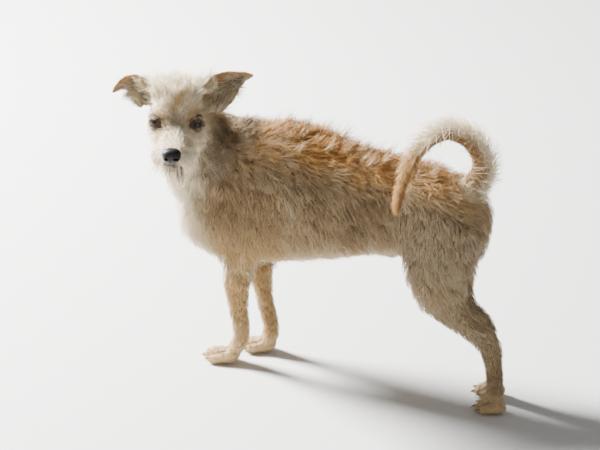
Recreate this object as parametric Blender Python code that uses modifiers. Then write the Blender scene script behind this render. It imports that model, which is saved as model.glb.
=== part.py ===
"""A still, life-size model of a young wire-coated terrier cross.

The dog stands on all fours, its head turned to its left and its tail curled over to the same side.
It faces -Y, its left side is +X, and the floor is z = 0. Every size is in metres and is taken over
the coat, out to the tips of the hair. The flesh is modelled whole, from lofted limbs and rounded
masses merged into one surface, and is then parted where a person would name its parts.
"""

import math

import bmesh
import bpy
from mathutils import Euler, Matrix, Vector

# Driving sizes
FIT_GAP = 0.0003          # clearance between neighbouring solids
FLESH_VOXEL = 0.003       # grain at which the masses of flesh are merged
FLESH_TRIANGLES = 3000    # triangles of the merged flesh before it is parted

# Head carriage: the head hangs on the point midway between the eyes
EYE_MIDPOINT = Vector((0.083, -0.254, 0.377))
HEAD_TURN = math.radians(107)
HEAD_DROP = math.radians(4)
HEAD_TILT = math.radians(0)

# Eyes, in the head's own frame: +X left, -Y towards the nose, +Z up
EYE_RADIUS = 0.0086
EYE_SET = Vector((0.0265, 0.0046, 0.0))

# Nose leather
NOSE_CENTRE = Vector((0, -0.0640, -0.0165))
NOSE_HALF = Vector((0.0132, 0.0095, 0.0108))

# Stations of the trunk: y, top of the back, underside, half width
TRUNK = (
    (-0.281, 0.230, 0.192, 0.022),
    (-0.272, 0.262, 0.177, 0.042),
    (-0.245, 0.318, 0.161, 0.056),
    (-0.205, 0.351, 0.151, 0.065),
    (-0.160, 0.359, 0.155, 0.068),
    (-0.120, 0.364, 0.163, 0.069),
    (-0.075, 0.355, 0.173, 0.068),
    (-0.030, 0.340, 0.186, 0.064),
    (0.015, 0.334, 0.198, 0.058),
    (0.060, 0.328, 0.205, 0.055),
    (0.100, 0.319, 0.207, 0.055),
    (0.130, 0.306, 0.211, 0.050),
    (0.149, 0.288, 0.220, 0.038),
    (0.160, 0.266, 0.238, 0.018),
)

# Stations of the neck: centre, half width, half depth towards the nape and towards the throat
NECK = (
    (0.000, -0.190, 0.262, 0.056, 0.084, 0.076),
    (0.004, -0.222, 0.292, 0.055, 0.074, 0.074),
    (0.012, -0.248, 0.324, 0.052, 0.060, 0.064),
    (0.024, -0.262, 0.352, 0.047, 0.050, 0.052),
    (0.036, -0.264, 0.372, 0.042, 0.042, 0.044),
)

# Each leg's stations, top to bottom: x, y, z, half width, half depth in front and behind
FORELEGS = {
    "left": (
        (0.034, -0.176, 0.262, 0.030, 0.044, 0.040),
        (0.036, -0.180, 0.215, 0.030, 0.038, 0.034),
        (0.034, -0.186, 0.172, 0.023, 0.030, 0.026),
        (0.029, -0.192, 0.128, 0.0175, 0.0215, 0.0205),
        (0.025, -0.191, 0.088, 0.0140, 0.0165, 0.0160),
        (0.023, -0.188, 0.055, 0.0135, 0.0145, 0.0140),
        (0.022, -0.190, 0.036, 0.0135, 0.0130, 0.0125),
        (0.022, -0.201, 0.018, 0.0135, 0.0120, 0.0120),
    ),
    "right": (
        (-0.034, -0.172, 0.262, 0.030, 0.044, 0.040),
        (-0.036, -0.174, 0.215, 0.030, 0.038, 0.034),
        (-0.034, -0.176, 0.172, 0.023, 0.030, 0.024),
        (-0.029, -0.176, 0.128, 0.0170, 0.0205, 0.0165),
        (-0.026, -0.172, 0.088, 0.0140, 0.0155, 0.0145),
        (-0.025, -0.164, 0.055, 0.0135, 0.0145, 0.0140),
        (-0.024, -0.160, 0.036, 0.0135, 0.0130, 0.0125),
        (-0.024, -0.166, 0.018, 0.0135, 0.0120, 0.0120),
    ),
}
HIND_LEGS = {
    "left": (
        (0.030, 0.110, 0.265, 0.030, 0.058, 0.046),
        (0.038, 0.104, 0.225, 0.029, 0.062, 0.052),
        (0.039, 0.092, 0.186, 0.025, 0.043, 0.058),
        (0.038, 0.110, 0.150, 0.0195, 0.0300, 0.0360),
        (0.037, 0.139, 0.122, 0.0155, 0.0165, 0.0175),
        (0.036, 0.168, 0.105, 0.0140, 0.0190, 0.0215),
        (0.035, 0.177, 0.082, 0.0125, 0.0150, 0.0165),
        (0.036, 0.182, 0.054, 0.0120, 0.0135, 0.0135),
        (0.038, 0.184, 0.032, 0.0125, 0.0125, 0.0125),
        (0.039, 0.178, 0.018, 0.0125, 0.0120, 0.0120),
    ),
    "right": (
        (-0.030, 0.110, 0.265, 0.030, 0.058, 0.046),
        (-0.038, 0.102, 0.225, 0.029, 0.060, 0.052),
        (-0.037, 0.088, 0.187, 0.025, 0.043, 0.054),
        (-0.031, 0.103, 0.151, 0.0195, 0.0300, 0.0340),
        (-0.024, 0.124, 0.122, 0.0155, 0.0165, 0.0165),
        (-0.018, 0.147, 0.103, 0.0140, 0.0190, 0.0200),
        (-0.013, 0.158, 0.082, 0.0125, 0.0150, 0.0160),
        (-0.009, 0.167, 0.054, 0.0120, 0.0135, 0.0135),
        (-0.007, 0.172, 0.032, 0.0125, 0.0125, 0.0125),
        (-0.006, 0.168, 0.018, 0.0125, 0.0120, 0.0120),
    ),
}

# Each paw: where its centre stands, how far it turns out, and its scale against a forepaw
PAWS = {
    "forepaw_left": (Vector((0.0235, -0.216, 0)), math.radians(-4), 1.0),
    "forepaw_right": (Vector((-0.0255, -0.179, 0)), math.radians(6), 1.0),
    "hindpaw_left": (Vector((0.039, 0.181, 0)), math.radians(-5), 0.90),
    "hindpaw_right": (Vector((-0.006, 0.167, 0)), math.radians(6), 0.90),
}
# A forepaw's masses: centre and half sizes, with the left half's toes mirrored
PAW_PALM = (Vector((0, 0.007, 0.0115)), Vector((0.0165, 0.0195, 0.0135)))
PAW_TOES = (
    (Vector((0.0066, -0.0155, 0.0090)), Vector((0.0076, 0.0140, 0.0110))),
    (Vector((0.0150, -0.0075, 0.0082)), Vector((0.0068, 0.0130, 0.0100))),
)
TOE_SPREAD = 0.12         # radians between neighbouring toes
# A claw's stations from inside the toe to its tip, against the toe's front: y, z, radius
CLAW = (
    (0.0070, 0.0016, 0.0021),
    (0.0015, 0.0016, 0.0020),
    (-0.0028, 0.0004, 0.0015),
    (-0.0060, -0.0030, 0.0006),
)

# The upright planes, square to X, that divide the left hind leg from the right
HIND_FEET_PART = 0.0165
SHANKS_PART = 0.008

# Tail: the bone's curve from its root, then the coat's half width and its half depths inside
# and outside the curl
TAIL = (
    (0.000, 0.122, 0.292, 0.016, 0.018, 0.018),
    (0.001, 0.137, 0.318, 0.013, 0.012, 0.022),
    (0.005, 0.142, 0.342, 0.012, 0.0095, 0.027),
    (0.012, 0.138, 0.364, 0.012, 0.0090, 0.030),
    (0.022, 0.125, 0.382, 0.012, 0.0085, 0.031),
    (0.034, 0.106, 0.391, 0.0115, 0.0080, 0.031),
    (0.047, 0.087, 0.384, 0.0110, 0.0080, 0.027),
    (0.058, 0.072, 0.365, 0.0100, 0.0075, 0.021),
    (0.067, 0.061, 0.339, 0.0090, 0.0070, 0.014),
    (0.074, 0.055, 0.312, 0.0075, 0.0065, 0.010),
    (0.079, 0.053, 0.290, 0.0055, 0.0050, 0.006),
    (0.080, 0.053, 0.280, 0.0030, 0.0025, 0.003),
)
TAIL_GAP = 0.0005         # clearance round the tail's root
TAIL_SIDEWAYS = Vector((-0.70, -0.71, -0.05))
# Where along its length each outer part of the tail begins, and how far its cutter reaches
TAIL_CUTS = (("tail_end", 0.66, 0.14), ("tail_arch", 0.30, 0.30))

# Ears, as on the left of the head's frame: the middle of the leather from base to tip, its half
# width, how far it curls round (degrees), and the line across it from its upper to its lower edge
EARS = {
    "left": (
        ((0.037, 0.035, 0.009), 0.0165, 85, (0.72, 0.05, -0.62)),
        ((0.050, 0.042, 0.028), 0.0225, 75, (0.68, 0.05, -0.72)),
        ((0.061, 0.045, 0.041), 0.0230, 64, (0.55, 0.05, -0.82)),
        ((0.074, 0.041, 0.051), 0.0170, 52, (0.48, 0.15, -0.85)),
        ((0.086, 0.034, 0.057), 0.0110, 42, (0.40, 0.30, -0.85)),
        ((0.096, 0.027, 0.061), 0.0065, 32, (0.35, 0.40, -0.85)),
        ((0.103, 0.022, 0.062), 0.0025, 25, (0.35, 0.40, -0.85)),
    ),
    "right": (
        ((0.036, 0.036, 0.014), 0.0145, 85, (0.72, 0.05, -0.62)),
        ((0.047, 0.045, 0.030), 0.0190, 75, (0.68, 0.10, -0.72)),
        ((0.058, 0.049, 0.037), 0.0190, 62, (0.50, 0.15, -0.84)),
        ((0.069, 0.050, 0.038), 0.0155, 50, (0.35, 0.25, -0.90)),
        ((0.078, 0.048, 0.035), 0.0115, 40, (0.15, 0.35, -0.92)),
        ((0.085, 0.045, 0.029), 0.0070, 30, (-0.05, 0.40, -0.90)),
        ((0.090, 0.043, 0.023), 0.0025, 25, (-0.10, 0.40, -0.90)),
    ),
}
EAR_THICKNESS = 0.0032
EAR_GAP = 0.0005          # clearance round an ear's root

# Collar: a webbing ring round the neck, and its D-shaped lead ring at the nape
COLLAR_CENTRE = Vector((0.0095, -0.2440, 0.3180))
COLLAR_AXIS = Vector((0.22, -0.55, 0.80)).normalized()
COLLAR_HALF_SIDE = 0.0525
COLLAR_HALF_DEPTH = 0.0625
COLLAR_WIDTH = 0.0130
COLLAR_THICKNESS = 0.0028
RING_WIRE = 0.0014
RING_HALF = 0.0090

ROUND = 24                # points round a lofted section

CREAM = (0.72, 0.63, 0.50)
FAWN = (0.52, 0.40, 0.27)
RUST = (0.42, 0.24, 0.12)
GREY = (0.46, 0.40, 0.33)
BLACK = (0.02, 0.02, 0.022)
# Each node's colour, roughness and metallic value
COLOURS = {
    "head": (CREAM, 0.9, 0), "muzzle": (CREAM, 0.9, 0), "lower_jaw": (CREAM, 0.9, 0),
    "nose": (BLACK, 0.4, 0), "eye_left": (BLACK, 0.1, 0), "eye_right": (BLACK, 0.1, 0),
    "ear_left": (RUST, 0.9, 0), "ear_right": (RUST, 0.9, 0),
    "neck": (CREAM, 0.9, 0), "chest": (FAWN, 0.9, 0), "loin": (GREY, 0.9, 0), "rump": (FAWN, 0.9, 0),
    "tail_base": (CREAM, 0.9, 0), "tail_arch": (CREAM, 0.9, 0), "tail_end": (RUST, 0.9, 0),
    "shoulder_left": (FAWN, 0.9, 0), "shoulder_right": (FAWN, 0.9, 0),
    "foreleg_left": (FAWN, 0.9, 0), "foreleg_right": (FAWN, 0.9, 0),
    "forepaw_left": (CREAM, 0.9, 0), "forepaw_right": (CREAM, 0.9, 0),
    "thigh_left": (GREY, 0.9, 0), "thigh_right": (GREY, 0.9, 0),
    "shank_left": (FAWN, 0.9, 0), "shank_right": (FAWN, 0.9, 0),
    "hock_left": (FAWN, 0.9, 0), "hock_right": (FAWN, 0.9, 0),
    "hindpaw_left": (CREAM, 0.9, 0), "hindpaw_right": (CREAM, 0.9, 0),
    "collar": (BLACK, 0.7, 0), "collar_ring": ((0.12, 0.12, 0.12), 0.35, 1),
}


def clear_scene():
    for obj in list(bpy.data.objects):
        bpy.data.objects.remove(obj, do_unlink=True)


def collection(name, hidden=False):
    made = bpy.data.collections.new(name)
    made.hide_render = hidden
    bpy.context.scene.collection.children.link(made)
    return made


def material(name, colour, roughness, metallic=0.0):
    made = bpy.data.materials.new(name)
    made.use_nodes = True
    shader = made.node_tree.nodes["Principled BSDF"]
    shader.inputs["Base Color"].default_value = (*colour, 1)
    shader.inputs["Roughness"].default_value = roughness
    shader.inputs["Metallic"].default_value = metallic
    return made


def object_from(name, mesh, group):
    made = bpy.data.objects.new(name, mesh)
    group.objects.link(made)
    return made


def object_from_bmesh(name, shape, group):
    bmesh.ops.recalc_face_normals(shape, faces=shape.faces)
    mesh = bpy.data.meshes.new(name)
    shape.to_mesh(mesh)
    shape.free()
    return object_from(name, mesh, group)


def settled(obj):
    """Bakes an object's modifiers and place into its own mesh."""
    graph = bpy.context.evaluated_depsgraph_get()
    bpy.context.view_layer.update()
    mesh = bpy.data.meshes.new_from_object(obj.evaluated_get(graph), depsgraph=graph)
    mesh.transform(obj.matrix_world)
    obj.modifiers.clear()
    obj.data = mesh
    obj.matrix_world = Matrix.Identity(4)
    return obj


def copy_of(obj, name, group):
    return object_from(name, obj.data.copy(), group)


def boolean(obj, cutter, operation):
    modifier = obj.modifiers.new(operation.title(), "BOOLEAN")
    modifier.operation = operation
    modifier.solver = "EXACT"
    modifier.object = cutter
    return settled(obj)


def grown(obj, distance, group):
    """A copy of a solid that stands proud of it by one distance all over, to cut its neighbours with."""
    copy = copy_of(obj, obj.name + "_clearance", group)
    push = copy.modifiers.new("Clearance", "DISPLACE")
    push.strength = distance
    push.mid_level = 0
    return settled(copy)


def between(rows, steps):
    """Rows of numbers on a smooth curve through the given rows, with so many steps to each gap."""
    smooth = []
    last = len(rows) - 1
    for i in range(last):
        before, here, there, after = (rows[max(0, min(last, k))] for k in range(i - 1, i + 3))
        for step in range(steps):
            t = step / steps
            smooth.append([
                0.5 * (2 * b + (c - a) * t + (2 * a - 5 * b + 4 * c - d) * t**2
                       + (3 * b - a - 3 * c + d) * t**3)
                for a, b, c, d in zip(before, here, there, after)
            ])
    smooth.append(list(rows[last]))
    return smooth


def section(centre, side, front, half_side, half_front, half_back, fullness, count=ROUND):
    """One closed section: an oval whose front and back halves have their own depths."""
    points = []
    for k in range(count):
        angle = math.tau * k / count
        across, along = math.cos(angle), math.sin(angle)
        across = math.copysign(abs(across) ** (2 / fullness), across)
        along = math.copysign(abs(along) ** (2 / fullness), along)
        depth = half_front if along > 0 else half_back
        points.append(centre + side * (half_side * across) + front * (depth * along))
    return points


def loft(name, sections, group, folded=False):
    """A closed skin through a row of sections with equal counts of points.

    A folded section runs out along one face and back along the other, so its ends are closed by
    crossing from face to face and not by a fan.
    """
    shape = bmesh.new()
    rings = [[shape.verts.new(p) for p in points] for points in sections]
    for ring, following in zip(rings, rings[1:]):
        for k in range(len(ring)):
            j = (k + 1) % len(ring)
            shape.faces.new((ring[k], ring[j], following[j], following[k]))
    for ring in (rings[0], rings[-1]):
        if folded:
            for k in range(len(ring) // 2 - 1):
                shape.faces.new((ring[k], ring[k + 1], ring[-2 - k], ring[-1 - k]))
            continue
        middle = shape.verts.new(sum((v.co for v in ring), Vector()) / len(ring))
        for k in range(len(ring)):
            shape.faces.new((ring[k], ring[(k + 1) % len(ring)], middle))
    return object_from_bmesh(name, shape, group)


def tangents(centres):
    """The direction of travel at each point of a line."""
    last = len(centres) - 1
    return [(centres[min(i + 1, last)] - centres[max(i - 1, 0)]).normalized()
            for i in range(last + 1)]


def limb(name, stations, group, sideways=Vector((1, 0, 0)), fullness=2.1, steps=4, count=ROUND):
    """A tube of flesh along a line of joints, each station x, y, z, half width, front, back."""
    rows = between(stations, steps)
    centres = [Vector(row[:3]) for row in rows]
    sections = []
    for row, centre, along in zip(rows, centres, tangents(centres)):
        side = (sideways - along * sideways.dot(along)).normalized()
        front = along.cross(side)
        sections.append(section(centre, side, front, *row[3:6], fullness, count))
    return loft(name, sections, group)


def trunk(group):
    """The barrel of the body, its sections upright across the spine."""
    sections = []
    for y, top, bottom, half in between(TRUNK, 4):
        middle = bottom + (top - bottom) * 0.52
        centre = Vector((0, y, middle))
        sections.append(section(centre, Vector((1, 0, 0)), Vector((0, 0, 1)),
                                half, top - middle, middle - bottom, 2.3))
    return loft("trunk_mass", sections, group)


def oval(name, centre, half, group, frame=Matrix.Identity(4), turn=(0, 0, 0), grain=3):
    """A rounded mass: a unit sphere at its half sizes, placed in a frame."""
    shape = bmesh.new()
    bmesh.ops.create_icosphere(shape, subdivisions=grain, radius=1)
    place = Matrix.Translation(centre) @ Euler(turn).to_matrix().to_4x4()
    bmesh.ops.transform(shape, matrix=frame @ place @ Matrix.Diagonal((*half, 1)), verts=shape.verts)
    return object_from_bmesh(name, shape, group)


def mirrored(centre, side):
    return Vector((centre.x * side, centre.y, centre.z))


def head_frame():
    turned = Euler((HEAD_DROP, 0, 0)).to_matrix().to_4x4()
    tilted = Matrix.Rotation(HEAD_TILT, 4, "Y")
    facing = Matrix.Rotation(HEAD_TURN, 4, "Z")
    return Matrix.Translation(EYE_MIDPOINT) @ facing @ tilted @ turned


def head_masses(group):
    """The head's flesh and coat in its own frame, nose towards -Y."""
    frame = head_frame()
    masses = [
        oval("cranium", Vector((0, 0.036, 0.003)), Vector((0.041, 0.044, 0.040)), group, frame),
        oval("topknot", Vector((0, 0.026, 0.031)), Vector((0.033, 0.034, 0.030)), group, frame),
        oval("throat", Vector((0, 0.022, -0.030)), Vector((0.032, 0.038, 0.024)), group, frame),
        oval("beard", Vector((0, -0.026, -0.046)), Vector((0.020, 0.028, 0.014)), group, frame),
        oval("chin", Vector((0, -0.045, -0.039)), Vector((0.013, 0.012, 0.009)), group, frame),
    ]
    for side in (-1, 1):
        masses += [
            oval("cheek", mirrored(Vector((0.025, 0.024, -0.018)), side),
                 Vector((0.025, 0.033, 0.030)), group, frame),
            oval("crown", mirrored(Vector((0.026, 0.031, 0.035)), side),
                 Vector((0.016, 0.028, 0.023)), group, frame),
            oval("brow", mirrored(Vector((0.019, 0.006, 0.013)), side),
                 Vector((0.015, 0.012, 0.011)), group, frame),
            oval("moustache", mirrored(Vector((0.014, -0.030, -0.030)), side),
                 Vector((0.0165, 0.025, 0.0145)), group, frame, (0, 0, 0.25 * side)),
        ]
    muzzle_line = (
        (0, 0.020, -0.012, 0.028, 0.026, 0.020),
        (0, -0.004, -0.016, 0.0225, 0.0180, 0.020),
        (0, -0.030, -0.020, 0.0185, 0.0135, 0.018),
        (0, -0.050, -0.0225, 0.0165, 0.0125, 0.016),
        (0, -0.061, -0.0250, 0.0130, 0.0105, 0.012),
    )
    bridge = limb("muzzle_mass", muzzle_line, group, fullness=2.3)
    bridge.data.transform(frame)
    return masses + [bridge]


def paw_frame(name):
    centre, turn_out, scale = PAWS[name]
    return Matrix.Translation(centre) @ Matrix.Rotation(turn_out, 4, "Z") @ Matrix.Scale(scale, 4)


def toe_frames(name):
    """Each toe's own frame, fanned out from the paw's, with the toe's half sizes."""
    frames = []
    for number, (centre, half) in enumerate(PAW_TOES):
        for side in (-1, 1):
            spread = Matrix.Rotation(TOE_SPREAD * side * (number + 1), 4, "Z")
            frames.append((paw_frame(name) @ Matrix.Translation(mirrored(centre, side)) @ spread, half))
    return frames


def paw_masses(name, group):
    """Palm and four toes, which the floor cuts flat underneath."""
    masses = [oval(name + "_palm", *PAW_PALM, group, paw_frame(name))]
    for frame, half in toe_frames(name):
        masses.append(oval(name + "_toe", Vector(), half, group, frame))
    return masses


def join(name, objects, group):
    shape = bmesh.new()
    for obj in objects:
        shape.from_mesh(obj.data)
        bpy.data.objects.remove(obj, do_unlink=True)
    mesh = bpy.data.meshes.new(name)
    shape.to_mesh(mesh)
    shape.free()
    return object_from(name, mesh, group)


def merged_flesh(group):
    """Every mass of flesh as one smooth closed surface."""
    masses = [trunk(group), limb("neck_mass", NECK, group)]
    masses += [limb(f"foreleg_mass_{side}", FORELEGS[side], group) for side in FORELEGS]
    masses += [limb(f"hind_leg_mass_{side}", HIND_LEGS[side], group) for side in HIND_LEGS]
    masses += [mass for name in PAWS for mass in paw_masses(name, group)]
    masses += head_masses(group)
    masses.append(oval("sheath", Vector((0, 0.022, 0.200)), Vector((0.013, 0.032, 0.013)), group))
    flesh = join("flesh", masses, group)
    merge = flesh.modifiers.new("Merge", "REMESH")
    merge.mode = "VOXEL"
    merge.voxel_size = FLESH_VOXEL
    fair = flesh.modifiers.new("Fair", "SMOOTH")
    fair.factor = 0.5
    fair.iterations = 5
    settled(flesh)
    thin = flesh.modifiers.new("Thin", "DECIMATE")
    thin.use_collapse_triangulate = True
    thin.ratio = FLESH_TRIANGLES / (2 * len(flesh.data.polygons))
    return settled(flesh)


def prism(name, outline, normal_axis, near, far, group):
    """A block with a drawn outline, square to the X, Y or Z axis, between two distances along it."""
    order = {"X": lambda a, b, d: (d, a, b), "Y": lambda a, b, d: (a, d, b),
             "Z": lambda a, b, d: (a, b, d)}[normal_axis]
    shape = bmesh.new()
    ends = [[shape.verts.new(order(a, b, distance)) for a, b in outline] for distance in (near, far)]
    for k in range(len(outline)):
        j = (k + 1) % len(outline)
        shape.faces.new((ends[0][k], ends[0][j], ends[1][j], ends[1][k]))
    shape.faces.new(ends[0])
    shape.faces.new(ends[1])
    return object_from_bmesh(name, shape, group)


def slab(name, point, normal, group, reach=1.2):
    """A block that fills the side of a plane that its normal points to, as far as its reach."""
    normal = Vector(normal).normalized()
    shape = bmesh.new()
    bmesh.ops.create_cube(shape, size=1)
    place = (Matrix.Translation(Vector(point) + normal * reach / 2)
             @ normal.to_track_quat("Z", "Y").to_matrix().to_4x4())
    bmesh.ops.transform(shape, matrix=place @ Matrix.Diagonal((reach, reach, reach, 1)), verts=shape.verts)
    return object_from_bmesh(name, shape, group)


def part_off(whole, name, block, parts, helpers):
    """Takes what lies in one block out of the whole, as a node of its own, with a fine gap between."""
    piece = copy_of(whole, name, parts)
    boolean(piece, block, "INTERSECT")
    boolean(whole, grown(block, FIT_GAP * math.sqrt(3), helpers), "DIFFERENCE")
    return piece


def in_frame(frame, point, direction):
    """A point and a direction of a local frame, given in the world's."""
    return frame @ Vector(point), frame.to_3x3() @ Vector(direction)


def part_flesh(flesh, parts, helpers):
    """Divides the flesh where a person would name its parts."""
    frame = head_frame()
    cut = slab("neck_top_cut", (0.026, -0.258, 0.350), (0.45, -0.12, 0.88), helpers)
    head = part_off(flesh, "head", cut, parts, helpers)
    cut = slab("muzzle_cut", *in_frame(frame, (0, -0.009, 0), (0, -1, 0)), helpers)
    muzzle = part_off(head, "muzzle", cut, parts, helpers)
    cut = slab("jaw_cut", *in_frame(frame, (0, -0.030, -0.0385), (0, 0.10, -1)), helpers)
    part_off(muzzle, "lower_jaw", cut, parts, helpers)

    cut = slab("neck_base_cut", (0, -0.205, 0.318), (0, -0.70, 0.71), helpers)
    part_off(flesh, "neck", cut, parts, helpers)

    limbs = {}
    for side, sign in (("left", 1), ("right", -1)):
        outer = 0.2 * sign
        floor = -0.01
        mid = HIND_FEET_PART
        plans = (
            ("forepaw", "Z", ((0, -0.30), (outer, -0.30), (outer, -0.10), (0, -0.10)), floor, 0.034),
            ("foreleg", "Z", ((0, -0.30), (outer, -0.30), (outer, -0.10), (0, -0.10)), 0.03, 0.141),
            ("shoulder", "Y", ((0.035 * sign, 0.12), (outer, 0.12), (outer, 0.29), (0.035 * sign, 0.29)),
             -0.240, -0.118),
            ("hindpaw", "Z", ((mid, 0.08), (outer, 0.08), (outer, 0.30), (mid, 0.30)), floor, 0.031),
            ("hock", "Z", ((mid, 0.08), (outer, 0.08), (outer, 0.30), (mid, 0.30)), 0.03, 0.098),
            ("shank", "X", ((0.030, 0.09), (0.30, 0.09), (0.30, 0.276), (0.030, 0.119)),
             SHANKS_PART, outer),
            ("thigh", "Y", ((0, 0.10), (outer, 0.10), (outer, 0.305), (0.052 * sign, 0.305), (0, 0.199)),
             0.044, 0.30),
        )
        for part, axis, outline, near, far in plans:
            name = f"{part}_{side}"
            block = prism(name + "_block", outline, axis, near, far, helpers)
            limbs[name] = part_off(flesh, name, block, parts, helpers)

    cut = slab("chest_cut", (0, -0.045, 0.25), (0, -1, 0), helpers)
    part_off(flesh, "chest", cut, parts, helpers)
    cut = slab("rump_cut", (0, 0.062, 0.25), (0, 1, 0), helpers)
    part_off(flesh, "rump", cut, parts, helpers)
    flesh.name = "loin"
    return limbs


def nose_leather(parts, helpers):
    """The nose pad, with its two nostrils and the groove between them."""
    frame = head_frame()
    nose = oval("nose", NOSE_CENTRE, NOSE_HALF, parts, frame, grain=2)
    for side in (-1, 1):
        nostril = oval("nostril", NOSE_CENTRE + Vector((0.0062 * side, -0.0085, -0.0005)),
                       Vector((0.0022, 0.0048, 0.0030)), helpers, frame, (0, 0.5 * side, 0), 2)
        boolean(nose, nostril, "DIFFERENCE")
    return nose


def ear(side, name, group, clearance=0.0):
    """A thin cupped leaf, folded over outward, or with a clearance the socket its root sits in."""
    sign = 1 if side == "left" else -1
    centres = [Vector(station[0]) for station in EARS[side]]
    directions = tangents(centres)
    centres[0] = centres[0] - directions[0] * clearance
    sections = []
    steps = 5
    for centre, along, (_, half, degrees, across) in zip(centres, directions, EARS[side]):
        curl = math.radians(degrees)
        radius = half / math.sin(curl)
        curl += clearance / radius
        across = Vector(across)
        across = (across - along * across.dot(along)).normalized()
        outward = along.cross(across)
        points = []
        for face, order in ((0.5, range(-steps, steps + 1)), (-0.5, range(steps, -steps - 1, -1))):
            for k in order:
                angle = curl * k / steps
                thick = EAR_THICKNESS * (1 - 0.5 * abs(k / steps) ** 3) * min(1, half / 0.004)
                spoke = across * math.sin(angle) + outward * math.cos(angle)
                points.append(centre + spoke * (radius + face * (thick + 2 * clearance))
                              - outward * radius)
        sections.append(points)
    leaf = loft(name, sections, group, folded=True)
    leaf.data.transform(head_frame() @ Matrix.Diagonal((sign, 1, 1, 1)))
    if sign < 0:
        leaf.data.flip_normals()
    return leaf


def tail_mass(name, group, clearance=0.0):
    """The whole tail with its fringe, or with a clearance the socket its root sits in."""
    rows = [[*row[:3], *(half + clearance for half in row[3:])] for row in TAIL]
    rows[0][2] -= clearance
    return limb(name, rows, group, TAIL_SIDEWAYS, 1.8, 1, 12)


def part_tail(whole, parts, helpers):
    """Parts the curled tail and its fringe into three lengths."""
    rows = between(TAIL, 8)
    centres = [Vector(row[:3]) for row in rows]
    directions = tangents(centres)
    for name, share, reach in TAIL_CUTS:
        at = round(share * (len(rows) - 1))
        cut = slab(name + "_cut", centres[at], directions[at], helpers, reach)
        part_off(whole, name, cut, parts, helpers)
    copy_of(whole, "tail_base", parts)


def claws(name, paw, helpers):
    """Four short curved claws, joined to the toes they grow from."""
    for frame, half in toe_frames(name):
        line = [(0, y - half.y * 0.80, z, radius, radius, radius) for y, z, radius in CLAW]
        claw = limb(name + "_claw", line, helpers, fullness=2, steps=1, count=6)
        claw.data.transform(frame)
        boolean(paw, claw, "UNION")


def collar_frame():
    turn = COLLAR_AXIS.to_track_quat("Z", "X").to_matrix()
    side = (Vector((1, 0, 0)) - COLLAR_AXIS * COLLAR_AXIS.x).normalized()
    nape = COLLAR_AXIS.cross(side)
    turn.col[0], turn.col[1], turn.col[2] = side, nape, COLLAR_AXIS
    return Matrix.Translation(COLLAR_CENTRE) @ turn.to_4x4()


def band(name, inner, outer, width, group):
    """An oval hoop about the collar's axis, between two offsets from its middle line."""
    shape = bmesh.new()
    rings = []
    for k in range(28):
        angle = math.tau * k / 28
        across, along = math.cos(angle), math.sin(angle)
        outward = Vector((across / COLLAR_HALF_SIDE, along / COLLAR_HALF_DEPTH, 0)).normalized()
        middle = Vector((across * COLLAR_HALF_SIDE, along * COLLAR_HALF_DEPTH, 0))
        rings.append([shape.verts.new(middle + outward * offset + Vector((0, 0, height)))
                      for offset, height in ((inner, -width / 2), (outer, -width / 2),
                                             (outer, width / 2), (inner, width / 2))])
    for k in range(28):
        here, there = rings[k], rings[(k + 1) % 28]
        for j in range(4):
            i = (j + 1) % 4
            shape.faces.new((here[j], here[i], there[i], there[j]))
    bmesh.ops.transform(shape, matrix=collar_frame(), verts=shape.verts)
    return object_from_bmesh(name, shape, group)


def lead_ring(parts):
    """A round wire ring that stands on the collar at the nape, through a small loop of its own."""
    shape = bmesh.new()
    rings = []
    centre = Vector((0, COLLAR_HALF_DEPTH + COLLAR_THICKNESS / 2 + FIT_GAP + RING_WIRE + RING_HALF, 0))
    for k in range(16):
        angle = math.tau * k / 16
        spoke = Vector((math.cos(angle), math.sin(angle), 0))
        middle = centre + spoke * RING_HALF
        rings.append([shape.verts.new(middle + spoke * (RING_WIRE * math.cos(turn))
                                      + Vector((0, 0, RING_WIRE * math.sin(turn))))
                      for turn in (math.tau * j / 6 for j in range(6))])
    for k in range(16):
        here, there = rings[k], rings[(k + 1) % 16]
        for j in range(6):
            i = (j + 1) % 6
            shape.faces.new((here[j], here[i], there[i], there[j]))
    bmesh.ops.transform(shape, matrix=collar_frame(), verts=shape.verts)
    return object_from_bmesh("collar_ring", shape, parts)


def build():
    clear_scene()
    parts = collection("terrier_cross")
    helpers = collection("cutters", hidden=True)

    flesh = merged_flesh(parts)
    boolean(flesh, slab("floor_cut", (0, 0, 0), (0, 0, 1), helpers, 1.5), "INTERSECT")

    for side, sign in (("left", 1), ("right", -1)):
        eye = oval(f"eye_{side}", mirrored(EYE_SET, sign), Vector((EYE_RADIUS,) * 3), parts, head_frame(),
                   grain=2)
        boolean(flesh, grown(eye, FIT_GAP, helpers), "DIFFERENCE")
        ear(side, f"ear_{side}", parts)
        boolean(flesh, ear(side, f"ear_{side}_socket", helpers, EAR_GAP), "DIFFERENCE")
    nose_leather(parts, helpers)
    plain_nose = oval("nose_seat", NOSE_CENTRE, NOSE_HALF, helpers, head_frame(), grain=2)
    boolean(flesh, grown(plain_nose, FIT_GAP, helpers), "DIFFERENCE")

    thickness = COLLAR_THICKNESS
    band("collar", -thickness / 2, thickness / 2, COLLAR_WIDTH, parts)
    seat = band("collar_seat", -thickness / 2 - FIT_GAP, 0.03, COLLAR_WIDTH + 2 * FIT_GAP, helpers)
    boolean(flesh, seat, "DIFFERENCE")
    lead_ring(parts)

    tail = tail_mass("tail", helpers)
    boolean(flesh, tail_mass("tail_socket", helpers, TAIL_GAP), "DIFFERENCE")
    part_tail(tail, parts, helpers)

    limbs = part_flesh(flesh, parts, helpers)
    for name in PAWS:
        claws(name, limbs[name], helpers)
    finish(parts, helpers)


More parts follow.
